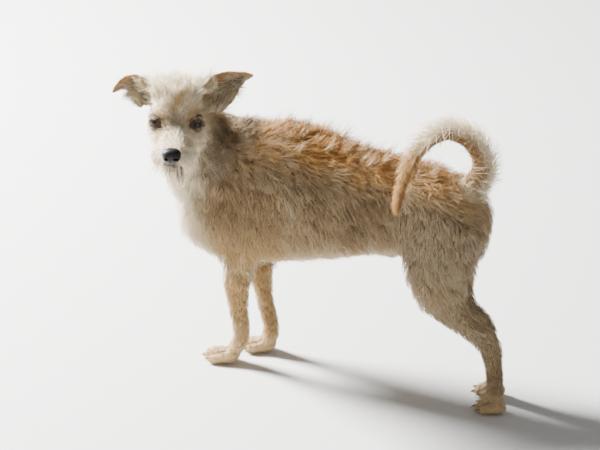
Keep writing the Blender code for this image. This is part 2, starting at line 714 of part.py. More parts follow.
def finish(parts, helpers):
    """Centres the model over the origin, colours each node and hides the cutters."""
    corners = [v.co for obj in parts.objects for v in obj.data.vertices]
    low = [min(c[i] for c in corners) for i in range(3)]
    high = [max(c[i] for c in corners) for i in range(3)]
    shift = Matrix.Translation((-(low[0] + high[0]) / 2, -(low[1] + high[1]) / 2, 0))
    for obj in parts.objects:
        obj.data.transform(shift)
        colour, roughness, metallic = COLOURS[obj.name]
        obj.data.materials.clear()
        obj.data.materials.append(material(obj.name, colour, roughness, metallic))
    for obj in helpers.objects:
        obj.hide_render = True
        obj.display_type = "WIRE"


build()
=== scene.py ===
"""The looks of a still, life-size model of a young wire-coated terrier cross.

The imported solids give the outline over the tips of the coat. One skin is grown inside them by the
coat's depth, and tapered locks of hair are laid over it, following the lie of the coat.
Lengths are in metres; the head's own frame has +X to the dog's left, -Y towards the nose, +Z up.
"""

import math
from types import SimpleNamespace

import bmesh
import bpy
import numpy as np
from mathutils import Euler, Matrix, Vector
from mathutils.bvhtree import BVHTree
from mathutils.kdtree import KDTree
from bpy.props import FloatProperty, FloatVectorProperty, PointerProperty
from bpy.types import NodeSocket, Operator, Panel, PropertyGroup


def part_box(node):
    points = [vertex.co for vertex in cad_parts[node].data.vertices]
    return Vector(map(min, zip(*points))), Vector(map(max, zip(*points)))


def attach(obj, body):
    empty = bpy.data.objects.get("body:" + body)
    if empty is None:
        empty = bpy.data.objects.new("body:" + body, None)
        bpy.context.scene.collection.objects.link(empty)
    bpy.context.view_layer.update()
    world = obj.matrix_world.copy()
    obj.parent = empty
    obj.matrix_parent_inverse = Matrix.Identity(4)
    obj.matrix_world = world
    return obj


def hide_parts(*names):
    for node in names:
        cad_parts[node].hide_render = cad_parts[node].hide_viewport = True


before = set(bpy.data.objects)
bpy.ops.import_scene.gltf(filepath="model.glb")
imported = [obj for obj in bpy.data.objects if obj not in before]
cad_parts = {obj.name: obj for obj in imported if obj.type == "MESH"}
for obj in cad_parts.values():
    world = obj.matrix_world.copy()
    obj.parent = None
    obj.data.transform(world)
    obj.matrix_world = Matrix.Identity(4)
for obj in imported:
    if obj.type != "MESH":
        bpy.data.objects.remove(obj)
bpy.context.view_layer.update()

bl_info = {
    "name": "Wire-coated Terrier",
    "version": (1, 0, 0),
    "blender": (4, 5, 0),
    "location": "View3D > Sidebar > Terrier",
    "description": "Builds the skin, coat, eyes, nose, claws and collar of a standing terrier",
    "category": "Object",
}

# ------------------------------------------------------------------ the dog's own measures

EYE_MIDPOINT = Vector((0.083, -0.254, 0.377))   # as the solids were drawn, before centring
HEAD_TURN = math.radians(107)
HEAD_DROP = math.radians(4)
EYE_SET = Vector((0.0265, 0.0046, 0.0))
EYE_RAISE = math.radians(4)
NOSE_CENTRE = Vector((0, -0.0640, -0.0165))
NOSE_HALF = Vector((0.0132, 0.0095, 0.0108))

# The bone of the tail from its root: x, y, z as drawn, and the radius of flesh
TAIL = (
    (0.000, 0.105, 0.262, 0.0170),
    (0.000, 0.118, 0.284, 0.0190),
    (0.000, 0.126, 0.302, 0.0160),
    (0.001, 0.134, 0.316, 0.0100),
    (0.005, 0.142, 0.342, 0.0066),
    (0.012, 0.138, 0.364, 0.0062),
    (0.022, 0.125, 0.382, 0.0058),
    (0.034, 0.106, 0.391, 0.0055),
    (0.047, 0.087, 0.384, 0.0051),
    (0.058, 0.072, 0.365, 0.0047),
    (0.067, 0.061, 0.339, 0.0042),
    (0.074, 0.055, 0.312, 0.0036),
    (0.079, 0.053, 0.292, 0.0026),
)
# The top of the back over the coat: y and z as drawn
BACK_LINE = ((-0.245, 0.318), (-0.205, 0.351), (-0.160, 0.359), (-0.120, 0.364), (-0.075, 0.355),
             (-0.030, 0.340), (0.015, 0.334), (0.060, 0.328), (0.100, 0.319), (0.130, 0.306))
# The leather of each ear, as on the left of the head's frame: its middle from root to tip, its
# half width and the line across it from its upper to its lower edge
EAR_STATIONS = {
    1: (((0.037, 0.035, 0.009), 0.0165, (0.72, 0.05, -0.62)),
        ((0.050, 0.042, 0.028), 0.0225, (0.68, 0.05, -0.72)),
        ((0.061, 0.045, 0.041), 0.0230, (0.55, 0.05, -0.82)),
        ((0.074, 0.041, 0.051), 0.0170, (0.48, 0.15, -0.85)),
        ((0.086, 0.034, 0.057), 0.0110, (0.40, 0.30, -0.85)),
        ((0.096, 0.027, 0.061), 0.0065, (0.35, 0.40, -0.85)),
        ((0.103, 0.022, 0.062), 0.0025, (0.35, 0.40, -0.85))),
    -1: (((0.036, 0.036, 0.014), 0.0145, (0.72, 0.05, -0.62)),
         ((0.047, 0.045, 0.030), 0.0190, (0.68, 0.10, -0.72)),
         ((0.058, 0.049, 0.037), 0.0190, (0.50, 0.15, -0.84)),
         ((0.069, 0.050, 0.038), 0.0155, (0.35, 0.25, -0.90)),
         ((0.078, 0.048, 0.035), 0.0115, (0.15, 0.35, -0.92)),
         ((0.085, 0.045, 0.029), 0.0070, (-0.05, 0.40, -0.90)),
         ((0.090, 0.043, 0.023), 0.0025, (-0.10, 0.40, -0.90))),
}
# Each paw's middle as drawn, its turn and its scale
PAWS = {
    "forepaw_left": (Vector((0.0235, -0.216, 0)), math.radians(-4), 1.0),
    "forepaw_right": (Vector((-0.0255, -0.179, 0)), math.radians(6), 1.0),
    "hindpaw_left": (Vector((0.039, 0.181, 0)), math.radians(-5), 0.90),
    "hindpaw_right": (Vector((-0.006, 0.167, 0)), math.radians(6), 0.90),
}
# The inner and the outer toe on one side of a paw: middle and half sizes
PAW_TOES = (
    (Vector((0.0066, -0.0155, 0.0090)), Vector((0.0076, 0.0140, 0.0110))),
    (Vector((0.0150, -0.0075, 0.0082)), Vector((0.0068, 0.0130, 0.0100))),
)
TOE_SPREAD = 0.12   # radians
# A claw from its root to its point: along it, up and radius
CLAW = ((0.0070, 0.0016, 0.0021), (0.0015, 0.0016, 0.0020), (-0.0028, 0.0004, 0.0015),
        (-0.0060, -0.0030, 0.0006))

# Coat over each node of flesh: depth over the skin, length of lock, width of lock, in millimetres
COATS = {
    "head": (9.0, 16.0, 0.70), "muzzle": (4.0, 9.0, 0.50), "lower_jaw": (10.0, 19.0, 0.60),
    "neck": (14.0, 29.0, 0.90), "chest": (12.0, 29.0, 0.95), "loin": (11.0, 26.0, 0.95),
    "rump": (9.0, 24.0, 0.90), "tail_base": (5.0, 16.0, 0.92), "tail_arch": (3.0, 14.0, 0.90),
    "tail_end": (3.0, 10.0, 0.65),
}
PAIRED_COATS = {
    "shoulder": (9.0, 24.0, 0.90), "foreleg": (4.0, 12.5, 0.70), "forepaw": (2.2, 7.0, 0.55),
    "thigh": (9.0, 22.0, 0.90), "shank": (4.5, 13.0, 0.75), "hock": (3.2, 11.0, 0.70),
    "hindpaw": (2.2, 7.0, 0.55), "ear": (1.1, 6.5, 0.55),
}
SIDES = {"left": 1, "right": -1}
COATS.update({f"{name}_{side}": row for name, row in PAIRED_COATS.items() for side in SIDES})
TAILS = ("tail_base", "tail_arch", "tail_end")
EARS = ("ear_left", "ear_right")
HEADS = ("head", "muzzle", "lower_jaw")
SWELL = 0.0011            # how far the solids are swelled so that the cuts between them close
VOXEL = 0.0019            # of the first surface round the flesh
SKIN_TRIANGLES = 165000   # of the skin before its lids are divided
FLOOR_GAP = 0.0002        # so that nothing reaches under the floor
TOE_FOLD = 0.0034         # how deep the folds between the toes are
COLLAR_GAP = 0.0008       # between the collar's band and its solid, at the ring
EYE_GAP = 0.0004          # between an eyeball and the radius its lids are laid for
ROOT_DEPTH = 0.0006       # how far a lock starts under the skin
CLUMP_REACH = 0.012       # how far apart the roots of locks that share a tip may be
PATCH = 0.003             # side of a lock's patch on the skin's unwrap

# Each piece of the coat: name, groups of nodes, locks, points along a lock, slot, the lock's look.
# A look gives how uneven the locks are (tall), how far they turn aside in degrees (stray), how
# they bend over (arch), how many share a tip (clump) and how closely (pull), and the wild share.
PLAIN_LOOK = {"tall": 0.14, "stray": 14, "arch": 1.7, "clump": 9, "pull": 0.55, "wild": 0.05}
HAIR = (
    ("coat_neck", ("neck",), 9600, 3, "body_coat",
     {"tall": 0.22, "clump": 12, "pull": 0.65, "wild": 0.09}),
    ("coat_chest", ("chest",), 10000, 3, "body_coat",
     {"tall": 0.21, "clump": 13, "pull": 0.7, "wild": 0.09}),
    ("coat_loin", ("loin",), 8000, 3, "body_coat",
     {"tall": 0.20, "clump": 13, "pull": 0.7, "wild": 0.08}),
    ("coat_rump", ("rump", "thigh"), 9500, 3, "body_coat", {"tall": 0.16, "clump": 12}),
    ("coat_shoulders", ("shoulder",), 5000, 3, "body_coat", {"tall": 0.16, "clump": 12}),
    ("coat_forelegs", ("foreleg", "forepaw"), 8000, 2, "leg_coat",
     {"tall": 0.17, "clump": 8, "pull": 0.5}),
    ("coat_hindlegs", ("shank", "hock", "hindpaw"), 9200, 2, "leg_coat",
     {"tall": 0.17, "clump": 8, "pull": 0.5}),
    ("coat_tail", ("tail",), 5800, 4, "tail_coat",
     {"tall": 0.20, "clump": 7, "arch": 1.1, "wild": 0.15}),
    ("coat_ears", ("ear",), 7000, 2, "ear_leather", {"tall": 0.3, "clump": 5, "pull": 0.3}),
    ("coat_head", ("head",), 11800, 3, "face_coat",
     {"tall": 0.24, "clump": 12, "arch": 1.15, "pull": 0.75, "stray": 16, "wild": 0.08}),
    ("coat_muzzle", ("muzzle",), 7000, 3, "face_coat",
     {"tall": 0.25, "clump": 9, "pull": 0.65, "stray": 20, "wild": 0.06}),
    ("coat_beard", ("lower_jaw",), 3400, 3, "face_coat",
     {"tall": 0.25, "clump": 9, "arch": 1.1, "pull": 0.75, "stray": 18}),
)


# ------------------------------------------------------------------ what a user may change

def a_number(name, description, default, **more):
    return FloatProperty(name=name, description=description, default=default, **more)


def a_colour(name, description, default):
    return FloatVectorProperty(name=name, description=description, default=default, size=3,
                               subtype="COLOR", min=0, max=1)


def a_length(name, description, default, high=0.1):
    return a_number(name, description, default, min=0, max=high, precision=4, unit="LENGTH")


def a_share(name, description, default, high=1.5):
    return a_number(name, description, default, min=0.1, max=high, subtype="FACTOR")


def an_angle(name, description, degrees):
    return a_number(name, description, math.radians(degrees), subtype="ANGLE")


class TerrierPalette(PropertyGroup):
    """Colours of the coat and of the bare parts"""
    cream: a_colour("Cream", "Ground colour of the coat", (0.95, 0.84, 0.62))
    wheaten: a_colour("Wheaten", "Tan laid over the body and legs", (0.50, 0.312, 0.115))
    rust: a_colour("Rust", "Fox red of the back and the ears", (0.54, 0.262, 0.062))
    # Grey is partly the coat's own brown-grey and partly painted shade on the flanks, neck, legs
    # and toe folds
    grey: a_colour("Grey", "Brown-grey of the flanks and thighs", (0.195, 0.136, 0.082))
    # Dark also holds painted shade: under the nose, in the folds between the toes and in the
    # hollows of the ears
    dark: a_colour("Dark", "Tips of the beard, rims of the eyes and lips", (0.035, 0.026, 0.022))
    leather: a_colour("Nose", "Leather of the nose", (0.007, 0.006, 0.006))
    iris: a_colour("Iris", "Lightest brown of the iris", (0.034, 0.014, 0.006))
    horn: a_colour("Horn", "Palest part of the claws", (0.24, 0.18, 0.135))
    webbing: a_colour("Webbing", "Raised threads of the collar", (0.030, 0.030, 0.034))
    steel: a_colour("Steel", "Brightest part of the collar's ring", (0.16, 0.16, 0.17))


class TerrierCoat(PropertyGroup):
    """How full and how long the coat is"""
    fullness: a_share("Fullness", "Share of the full number of locks", 1.0, 1.0)
    length: a_share("Length", "Length of the locks against the natural one", 1.0)
    width: a_share("Width", "Width of the locks against the natural one", 1.0)
    crest: a_length("Crest", "Longest tufts that stand along the back", 0.045)
    moustache: a_length("Moustache", "Longest locks that hang over the lips", 0.021)
    beard: a_length("Beard", "Longest strands under the chin", 0.023)


class TerrierEyes(PropertyGroup):
    """The eyeballs and the opening between the lids"""
    radius: a_length("Radius", "Radius of an eyeball", 0.0086)
    look: an_angle("Look", "How far each eye looks outward", 22)
    half: a_length("Half width", "Half the width of the opening", 0.0076)
    above: a_length("Above", "How far the upper lid is over the middle", 0.0051)
    below: a_length("Below", "How far the lower lid is under the middle", 0.0036)
    lid: a_length("Lid", "Thickness of the lids", 0.0011)


class TerrierFittings(PropertyGroup):
    """The claws and the collar"""
    claw: a_share("Claws", "Length and thickness of the claws against the full ones", 0.66, 1.2)
    webbing: a_length("Webbing", "Thickness of the collar's webbing", 0.0024)


class TerrierStage(PropertyGroup):
    """The floor, the lights and the camera"""
    floor: a_length("Floor", "Half the side of the floor", 12.0, 50.0)
    floor_colour: a_colour("Floor colour", "Colour of the floor", (0.66, 0.65, 0.63))
    sky_colour: a_colour("Sky colour", "Colour of the light from all round", (0.87, 0.87, 0.88))
    sky: a_number("Sky", "Strength of the light from all round", 0.33, min=0)
    key: a_number("Key", "Power of the main light", 1350, min=0, unit="POWER")
    fill: a_number("Fill", "Power of the light from behind", 16, min=0, unit="POWER")
    distance: a_length("Distance", "From the camera to the dog", 3.0, 20.0)
    azimuth: an_angle("Azimuth", "Turn of the camera round the dog", 110)
    height: an_angle("Height", "Angle of the camera over the floor", 24)
    lens: a_number("Lens", "Focal length of the camera in millimetres", 128.57, min=1,
                   unit="CAMERA")


class TerrierSettings(PropertyGroup):
    """All settings of the terrier"""
    palette: PointerProperty(type=TerrierPalette)
    coat: PointerProperty(type=TerrierCoat)
    eyes: PointerProperty(type=TerrierEyes)
    fittings: PointerProperty(type=TerrierFittings)
    stage: PointerProperty(type=TerrierStage)


def settings():
    return bpy.context.scene.terrier


def head_turned():
    """The head's own axes in the world, without its place."""
    return Matrix.Rotation(HEAD_TURN, 4, "Z") @ Euler((HEAD_DROP, 0, 0)).to_matrix().to_4x4()


def centring():
    """How far the solids were moved when they were centred over the origin."""
    left, right = (sum(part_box("eye_" + side), Vector()) / 2 for side in SIDES)
    drawn = EYE_MIDPOINT + head_turned() @ Vector((0, EYE_SET.y, EYE_SET.z))
    return (left + right) / 2 - drawn


SHIFT = centring()
HEAD = Matrix.Translation(EYE_MIDPOINT + SHIFT) @ head_turned()
TURN = np.array(HEAD)[:3, :3]


# ------------------------------------------------------------------ numbers and surfaces

def affine(matrix, points):
    """The points moved by a 4 x 4 matrix."""
    m = np.array(matrix)
    return points @ m[:3, :3].T + m[:3, 3]


def folded(points):
    """The points' x, the same on both sides, their y and their z."""
    return np.abs(points[:, 0]), points[:, 1], points[:, 2]


def in_head(points):
    return affine(HEAD.inverted(), points)


def unit(vectors):
    return vectors / np.maximum(np.linalg.norm(vectors, axis=1), 1e-12)[:, None]


def square_to(vectors, others):
    """The vectors without what they have along others, as unit vectors."""
    return unit(vectors - others * (vectors * others).sum(1)[:, None])


def ramp(x, low, high):
    """0 below low, 1 above high, smooth between; low may be above high."""
    t = np.clip((x - low) / (high - low), 0, 1)
    return t * t * (3 - 2 * t)


def spot(points, centre, half):
    """1 at the centre, fading smoothly to 0 over an ellipsoid's half sizes."""
    d = (points - np.array(centre)) / np.array(half)
    return np.exp(-1.5 * (d * d).sum(1))


def both_sides(points, centre, half):
    """A spot on each side of the head."""
    x, y, z = centre
    return np.maximum(spot(points, (-x, y, z), half), spot(points, (x, y, z), half))


def grain(points, size, seed):
    """Smooth noise from -1 to 1, whose lumps are about the given size."""
    lattice = np.random.default_rng(seed).uniform(-1, 1, (24, 24, 24))
    q = points / size
    base = np.floor(q).astype(int)
    t = q - base
    t = t * t * (3 - 2 * t)
    total = np.zeros(len(points))
    for corner in range(8):
        step = np.array([(corner >> k) & 1 for k in range(3)])
        weight = np.prod(np.where(step, t, 1 - t), axis=1)
        i, j, k = ((base + step) % 24).T
        total += weight * lattice[i, j, k]
    return total


class Surface:
    """A triangle mesh as arrays, with the neighbours of each vertex."""

    def __init__(self, vertices, triangles):
        self.v = vertices
        self.t = triangles
        self.n = len(vertices)
        edges = np.concatenate([triangles[:, [0, 1]], triangles[:, [1, 2]], triangles[:, [2, 0]]])
        edges = np.unique(np.sort(edges, axis=1), axis=0)
        self.a = np.concatenate([edges[:, 0], edges[:, 1]])
        self.b = np.concatenate([edges[:, 1], edges[:, 0]])
        self.valence = np.maximum(np.bincount(self.a, minlength=self.n), 1)

    def around(self, values):
        """Each vertex's mean over its neighbours."""
        if values.ndim == 1:
            return np.bincount(self.a, values[self.b], self.n) / self.valence
        return np.stack([self.around(column) for column in values.T], axis=1)

    def spread(self, values, rounds, share=0.6):
        for _ in range(rounds):
            values = values * (1 - share) + self.around(values) * share
        return values

    def relax(self, rounds, share):
        """Moves the vertices by a share of the way to where spreading takes them."""
        self.v = self.v + (self.spread(self.v, rounds) - self.v) * share

    def crossed(self):
        a, b, c = (self.v[corner] for corner in self.t.T)
        return np.cross(b - a, c - a)

    def areas(self):
        return np.linalg.norm(self.crossed(), axis=1) / 2

    def normals(self):
        crossed = self.crossed()
        total = np.zeros((self.n, 3))
        for k in range(3):
            for axis in range(3):
                total[:, axis] += np.bincount(self.t[:, k], crossed[:, axis], self.n)
        return unit(total)


def mesh_arrays(mesh):
    """A mesh's vertices and triangles."""
    mesh.calc_loop_triangles()
    vertices = np.empty(len(mesh.vertices) * 3)
    mesh.vertices.foreach_get("co", vertices)
    triangles = np.empty(len(mesh.loop_triangles) * 3, np.int32)
    mesh.loop_triangles.foreach_get("vertices", triangles)
    return vertices.reshape(-1, 3), triangles.reshape(-1, 3)


def mesh_from(name, vertices, triangles):
    mesh = bpy.data.meshes.new(name)
    mesh.vertices.add(len(vertices))
    mesh.vertices.foreach_set("co", np.asarray(vertices, np.float32).ravel())
    mesh.loops.add(triangles.size)
    mesh.loops.foreach_set("vertex_index", np.asarray(triangles, np.int32).ravel())
    mesh.polygons.add(len(triangles))
    mesh.polygons.foreach_set("loop_start", np.arange(0, triangles.size, 3, dtype=np.int32))
    mesh.polygons.foreach_set("use_smooth", np.full(len(triangles), True))
    mesh.update(calc_edges=True)
    mesh.validate()
    return mesh


def placed(name, mesh):
    obj = bpy.data.objects.new(name, mesh)
    bpy.context.scene.collection.objects.link(obj)
    return obj


def numbers(mesh, name, values):
    """A named value on each vertex, for the materials."""
    layer = mesh.attributes.new(name, "FLOAT", "POINT")
    layer.data.foreach_set("value", np.asarray(values, np.float32))


def modified(vertices, triangles, kind, **options):
    """The mesh as one modifier makes it."""
    obj = placed("modified", mesh_from("modified", vertices, triangles))
    modifier = obj.modifiers.new("modified", kind)
    for key, value in options.items():
        setattr(modifier, key, value)
    done = obj.evaluated_get(bpy.context.evaluated_depsgraph_get()).to_mesh()
    result = mesh_arrays(done)
    mesh = obj.data
    bpy.data.objects.remove(obj)
    bpy.data.meshes.remove(mesh)
    return result


def joined(parts):
    """Several meshes as one."""
    starts = np.cumsum([0] + [len(vertices) for vertices, _ in parts])
    return (np.concatenate([vertices for vertices, _ in parts]),
            np.concatenate([triangles + start for (_, triangles), start in zip(parts, starts)]))


def node_arrays(name):
    return mesh_arrays(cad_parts[name].data)


def search_tree(vertices, triangles):
    return BVHTree.FromPolygons(vertices.tolist(), triangles.tolist())


def nearest(tree, points):
    """The nearest places on a tree's mesh, their triangles and how far away they are."""
    found = [tree.find_nearest(p) for p in points.tolist()]
    return [np.array([f[k] for f in found]) for k in (0, 2, 3)]


def closest_of(places, points):
    """The number of the place that is closest to each point."""
    tree = KDTree(len(places))
    for number, place in enumerate(places.tolist()):
        tree.insert(place, number)
    tree.balance()
    return np.array([tree.find(p)[1] for p in points.tolist()])


def turns(count):
    """Even angles once round a circle."""
    return 2 * math.pi * np.arange(count) / count


def bands(rings, count):
    """The triangles between rings of points, ring after ring."""
    c = np.arange(count)
    first = np.arange(rings - 1)[:, None] * count
    p, q = (first + c).ravel(), (first + (c + 1) % count).ravel()
    return np.stack([p, q, q + count, p, q + count, p + count], 1).reshape(-1, 3)


def capped(rings, count):
    """The bands and the triangles to a middle point for each end, which follow all the rings."""
    c = np.arange(count)
    n, last, end = (c + 1) % count, (rings - 1) * count, np.full(count, rings * count)
    caps = np.stack([end, n, c, end + 1, last + c, last + n], 1).reshape(-1, 3)
    return np.concatenate([bands(rings, count), caps])


def tube(stations, steps=6, count=14):
    """A closed round tube through stations of x, y, z and radius, and its middle line."""
    rows = np.array(stations)
    rows[:, :3] += np.array(SHIFT)
    s = np.linspace(0, len(rows) - 1, (len(rows) - 1) * steps + 1)
    k = np.clip(s.astype(int), 0, len(rows) - 2)
    u = (s - k)[:, None]
    before, after = rows[np.maximum(k - 1, 0)], rows[np.minimum(k + 2, len(rows) - 1)]
    a, b = rows[k], rows[k + 1]
    line = 0.5 * (2 * a + (b - before) * u + (2 * before - 5 * a + 4 * b - after) * u ** 2
                  + (3 * a - before - 3 * b + after) * u ** 3)
    along = unit(np.gradient(line[:, :3], axis=0))
    side = unit(np.cross(along, np.array([[0.0, 0.0, 1.0]]) + along[:, [1, 2, 0]] * 0.3))
    up = np.cross(side, along)
    angle = np.linspace(0, 2 * math.pi, count, endpoint=False)[:, None]
    ring = side[:, None] * np.cos(angle) + up[:, None] * np.sin(angle)
    points = (line[:, None, :3] + ring * line[:, None, 3:4]).reshape(-1, 3)
    return np.concatenate([points, line[:1, :3], line[-1:, :3]]), capped(len(line), count), line


# ------------------------------------------------------------------ skin

def nearest_flesh(points, margin=0.012):
    """The name of the node of flesh nearest to each point."""
    names = list(COATS)
    best = np.full(len(points), 1e9)
    label = np.zeros(len(points), int)
    for number, name in enumerate(names):
        low, high = (np.array(corner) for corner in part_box(name))
        near = np.flatnonzero(((points > low - margin) & (points < high + margin)).all(1))
        distance = nearest(search_tree(*node_arrays(name)), points[near])[2]
        closer = distance < best[near]
        best[near[closer]] = distance[closer]
        label[near[closer]] = number
    return np.array(names)[label]


def back_line(y):
    """The height of the top of the back."""
    return np.interp(y, *np.array(BACK_LINE).T)


def hackle_band(points, label):
    """1 along the top of the back, where the hair stands in tufts, fading down the sides."""
    drawn = points - np.array(SHIFT)
    top = back_line(drawn[:, 1])
    near = ramp(drawn[:, 2], top - 0.034, top - 0.012) * ramp(np.abs(drawn[:, 0]), 0.040, 0.018)
    near *= ramp(drawn[:, 1], -0.225, -0.185)
    return near * np.isin(label, ("neck", "chest", "loin", "rump"))


def coat_depth(points, label):
    """The coat's depth over the skin, before it is evened out."""
    depth = np.array([COATS[name][0] for name in label]) / 1000
    local = in_head(points)
    face = np.isin(label, HEADS)
    x, y, z = folded(local)
    head = depth + 0.008 * ramp(z, 0.022, 0.045) * ramp(y, 0.002, 0.020)
    head += 0.005 * ramp(x, 0.030, 0.045) * ramp(z, 0.012, -0.010)
    head *= 1 - 0.88 * both_sides(local, (EYE_SET.x, -0.004, 0.001), (0.017, 0.018, 0.013))
    head *= 1 - 0.65 * spot(local, (0, -0.010, 0.004), (0.014, 0.020, 0.012))
    head *= 1 - 0.85 * spot(local, (0, -0.066, -0.016), (0.017, 0.014, 0.014))
    depth = np.where(face, head, depth) + 0.0035 * hackle_band(points, label)
    depth = np.where(np.isin(label, TAILS), 0.0, depth)
    return np.where(np.isin(label, EARS + TAILS), depth, depth + SWELL)


def collar_axes():
    """The collar's middle and its own axes, from its node: side, depth and the way up the neck."""
    points, _ = node_arrays("collar")
    middle = (points.min(0) + points.max(0)) / 2
    axes = np.linalg.svd(points - middle, full_matrices=False)[2]
    up = axes[2] * np.sign(axes[2][2])
    depth = axes[0] - up * axes[0].dot(up)
    depth /= np.linalg.norm(depth)
    return middle, np.cross(depth, up), depth, up


def neck_filling(count=48, half=0.0085, far=0.16, widest=0.085):
    """A sleeve that fills the groove the collar lies in, out to the flesh on either side of it."""
    middle, side, depth, up = collar_axes()
    round_it = ("neck", "chest", "shoulder_left", "shoulder_right")
    tree = search_tree(*joined([node_arrays(name) for name in round_it]))
    shape = []
    for height in (-half, half):
        foot = middle + up * height
        for angle in turns(count):
            spoke = side * math.cos(angle) + depth * math.sin(angle)
            hit = tree.ray_cast(Vector(foot + spoke * far), Vector(-spoke), far - 0.02)[0]
            reach = (hit - Vector(foot)).length if hit else 0.05
            shape.append(middle + up * height * 1.15 + spoke * min(reach - 0.0004, widest))
    return np.array(shape + [middle - up * half, middle + up * half]), capped(2, count)


def flesh_surface():
    """The merged solids with their grooves and sockets filled, and a bare bone for the tail."""
    parts = [neck_filling(), tube(TAIL)[:2]]
    for name in [n for n in COATS if n not in TAILS] + ["eye_left", "eye_right", "nose", "collar"]:
        vertices, triangles = node_arrays(name)
        swell = 0.0004 if name in EARS else SWELL
        parts.append((vertices + Surface(vertices, triangles).normals() * swell, triangles))
    return modified(*joined(parts), "REMESH", mode="VOXEL", voxel_size=VOXEL)


def sink(surface, depth, body, steps=10):
    """Moves the surface inward by a depth at each vertex and keeps it smooth, most on the body."""
    surface.relax(14, body[:, None])
    for _ in range(steps):
        normals = unit(surface.spread(surface.normals(), 4))
        surface.v = surface.v - normals * (depth / steps)[:, None]
        surface.relax(2, np.clip(depth / 0.005, 0.02, 1)[:, None])


def flatten_knobs(surface, label, top=0.0395):
    """Presses flat the folds of skin that stand up in front of the roots of the ears."""
    local = in_head(surface.v)
    x, y, z = folded(local)
    knob = (x > 0.017) * (x < 0.040) * (y > 0.016) * (y < 0.050) * (z > top) * groups(label, "head")
    local[:, 2] = np.where(knob > 0, top + 0.15 * (z - top), z)
    surface.v = affine(HEAD, local)
    share = np.clip(1.6 * surface.spread(knob, 3), 0, 1)[:, None]
    for _ in range(4):
        surface.relax(12, share)


def eye_axes(side):
    """An eye's centre and its own axes in the head's frame: outward, up and the way it looks."""
    sign = SIDES[side]
    turn = Matrix.Rotation(settings().eyes.look * sign, 3, "Z")
    turn = turn @ Matrix.Rotation(-EYE_RAISE, 3, "X")
    axes = (np.array(turn @ Vector(way)) for way in ((sign, 0, 0), (0, 0, 1), (0, -1, 0)))
    return np.array((EYE_SET.x * sign, EYE_SET.y, EYE_SET.z)), *axes


def opening(local, side):
    """How far each point lies outside the opening between the lids, in metres; below 0 inside."""
    centre, out, up, look = eye_axes(side)
    eyes = settings().eyes
    q = local - centre
    u, v = q @ out, q @ up - 0.10 * (q @ out)
    edge = np.clip(1 - (np.abs(u) / eyes.half) ** 2.2, -4, 1)
    gap = np.where(v > 0, v - eyes.above * edge, -v - eyes.below * edge)
    return np.where(q @ look > 0.001, gap * 0.8, 1.0)


def lay_lids(surface, opened):
    """Lays the skin over each eyeball and, at 1, opens it between the lids."""
    local = in_head(surface.v)
    eyes = settings().eyes
    for side in SIDES:
        centre, _, _, look = eye_axes(side)
        q = local - centre
        reach = np.linalg.norm(q, axis=1)
        ahead = q @ look
        across = np.sqrt(np.maximum(reach ** 2 - ahead ** 2, 0))
        gap = opening(local, side)
        lid = eyes.radius + eyes.lid + 0.0007 * spot(gap[:, None], 0.0012, 0.0010)
        wanted = lid - opened * (eyes.lid + 0.0030) * ramp(gap, 0.0004, -0.0004)
        share = ramp(across, 0.0135, 0.0088) * (ahead > 0) * (reach < 0.016)
        aim = centre + q / np.maximum(reach, 1e-6)[:, None] * wanted[:, None]
        local = local + (aim - local) * share[:, None]
    surface.v = affine(HEAD, local)


def finer(surface, places, reach):
    """The surface with the edges round each place divided once more."""
    mesh = mesh_from("finer", surface.v, surface.t)
    close = np.any([np.linalg.norm(surface.v - np.array(place), axis=1) < reach
                    for place in places], axis=0).tolist()
    bm = bmesh.new()
    bm.from_mesh(mesh)
    edges = [e for e in bm.edges if all(close[v.index] for v in e.verts)]
    bmesh.ops.subdivide_edges(bm, edges=edges, cuts=1, use_grid_fill=True)
    bmesh.ops.triangulate(bm, faces=bm.faces[:])
    bm.to_mesh(mesh)
    bm.free()
    result = Surface(*mesh_arrays(mesh))
    bpy.data.meshes.remove(mesh)
    return result


# ------------------------------------------------------------------ what the coat does

def groups(label, *names):
    return np.isin(label, [n for n in COATS if n.startswith(names)]).astype(float)


def tail_place(points):
    """Each point's place along the tail, 0 to 1, with the tail's own directions there."""
    line = tube(TAIL)[2][:, :3]
    near = closest_of(line, points)
    along = unit(np.gradient(line, axis=0))[near]
    curl = line[30:].mean(0)
    return near / (len(line) - 1), along, square_to(line[near] - curl, along)


def ear_rows(sign, steps=60):
    """An ear's finely divided stations in the head's frame: middle, half width, across, along."""
    rows = np.array([(*middle, half, *across) for middle, half, across in EAR_STATIONS[sign]])
    t = np.linspace(0, len(rows) - 1, steps)
    rows = np.stack([np.interp(t, range(len(rows)), column) for column in rows.T], 1)
    rows[:, [0, 4]] *= sign
    along = unit(np.gradient(rows[:, :3], axis=0))
    return rows[:, :3], rows[:, 3], square_to(rows[:, 4:], along), along


def ear_place(local):
    """Each point's place on its ear: along it 0 to 1, across it -1 to 1, and the way along it."""
    place, cross, along = np.zeros(len(local)), np.zeros(len(local)), np.zeros((len(local), 3))
    for sign in (-1, 1):
        middles, half, across, way = ear_rows(sign)
        mine = np.flatnonzero(local[:, 0] * sign > 0)
        gap = np.linalg.norm(local[mine][:, None] - middles[None], axis=2) / (half + 0.006)[None]
        near = gap.argmin(1)
        place[mine] = near / (len(middles) - 1)
        cross[mine] = ((local[mine] - middles[near]) * across[near]).sum(1) / (half[near] + 0.0015)
        along[mine] = way[near]
    return place, cross, along


def toe_frames(name):
    """The frame and the half sizes of each toe of a paw."""
    centre, turn_out, scale = PAWS[name]
    paw = (Matrix.Translation(centre + SHIFT) @ Matrix.Rotation(turn_out, 4, "Z")
           @ Matrix.Scale(scale, 4))
    for number, (middle, half) in enumerate(PAW_TOES):
        for side in (-1, 1):
            spread = Matrix.Rotation(TOE_SPREAD * side * (number + 1), 4, "Z")
            place = Vector((middle.x * side, middle.y, middle.z))
            yield paw @ Matrix.Translation(place) @ spread, half


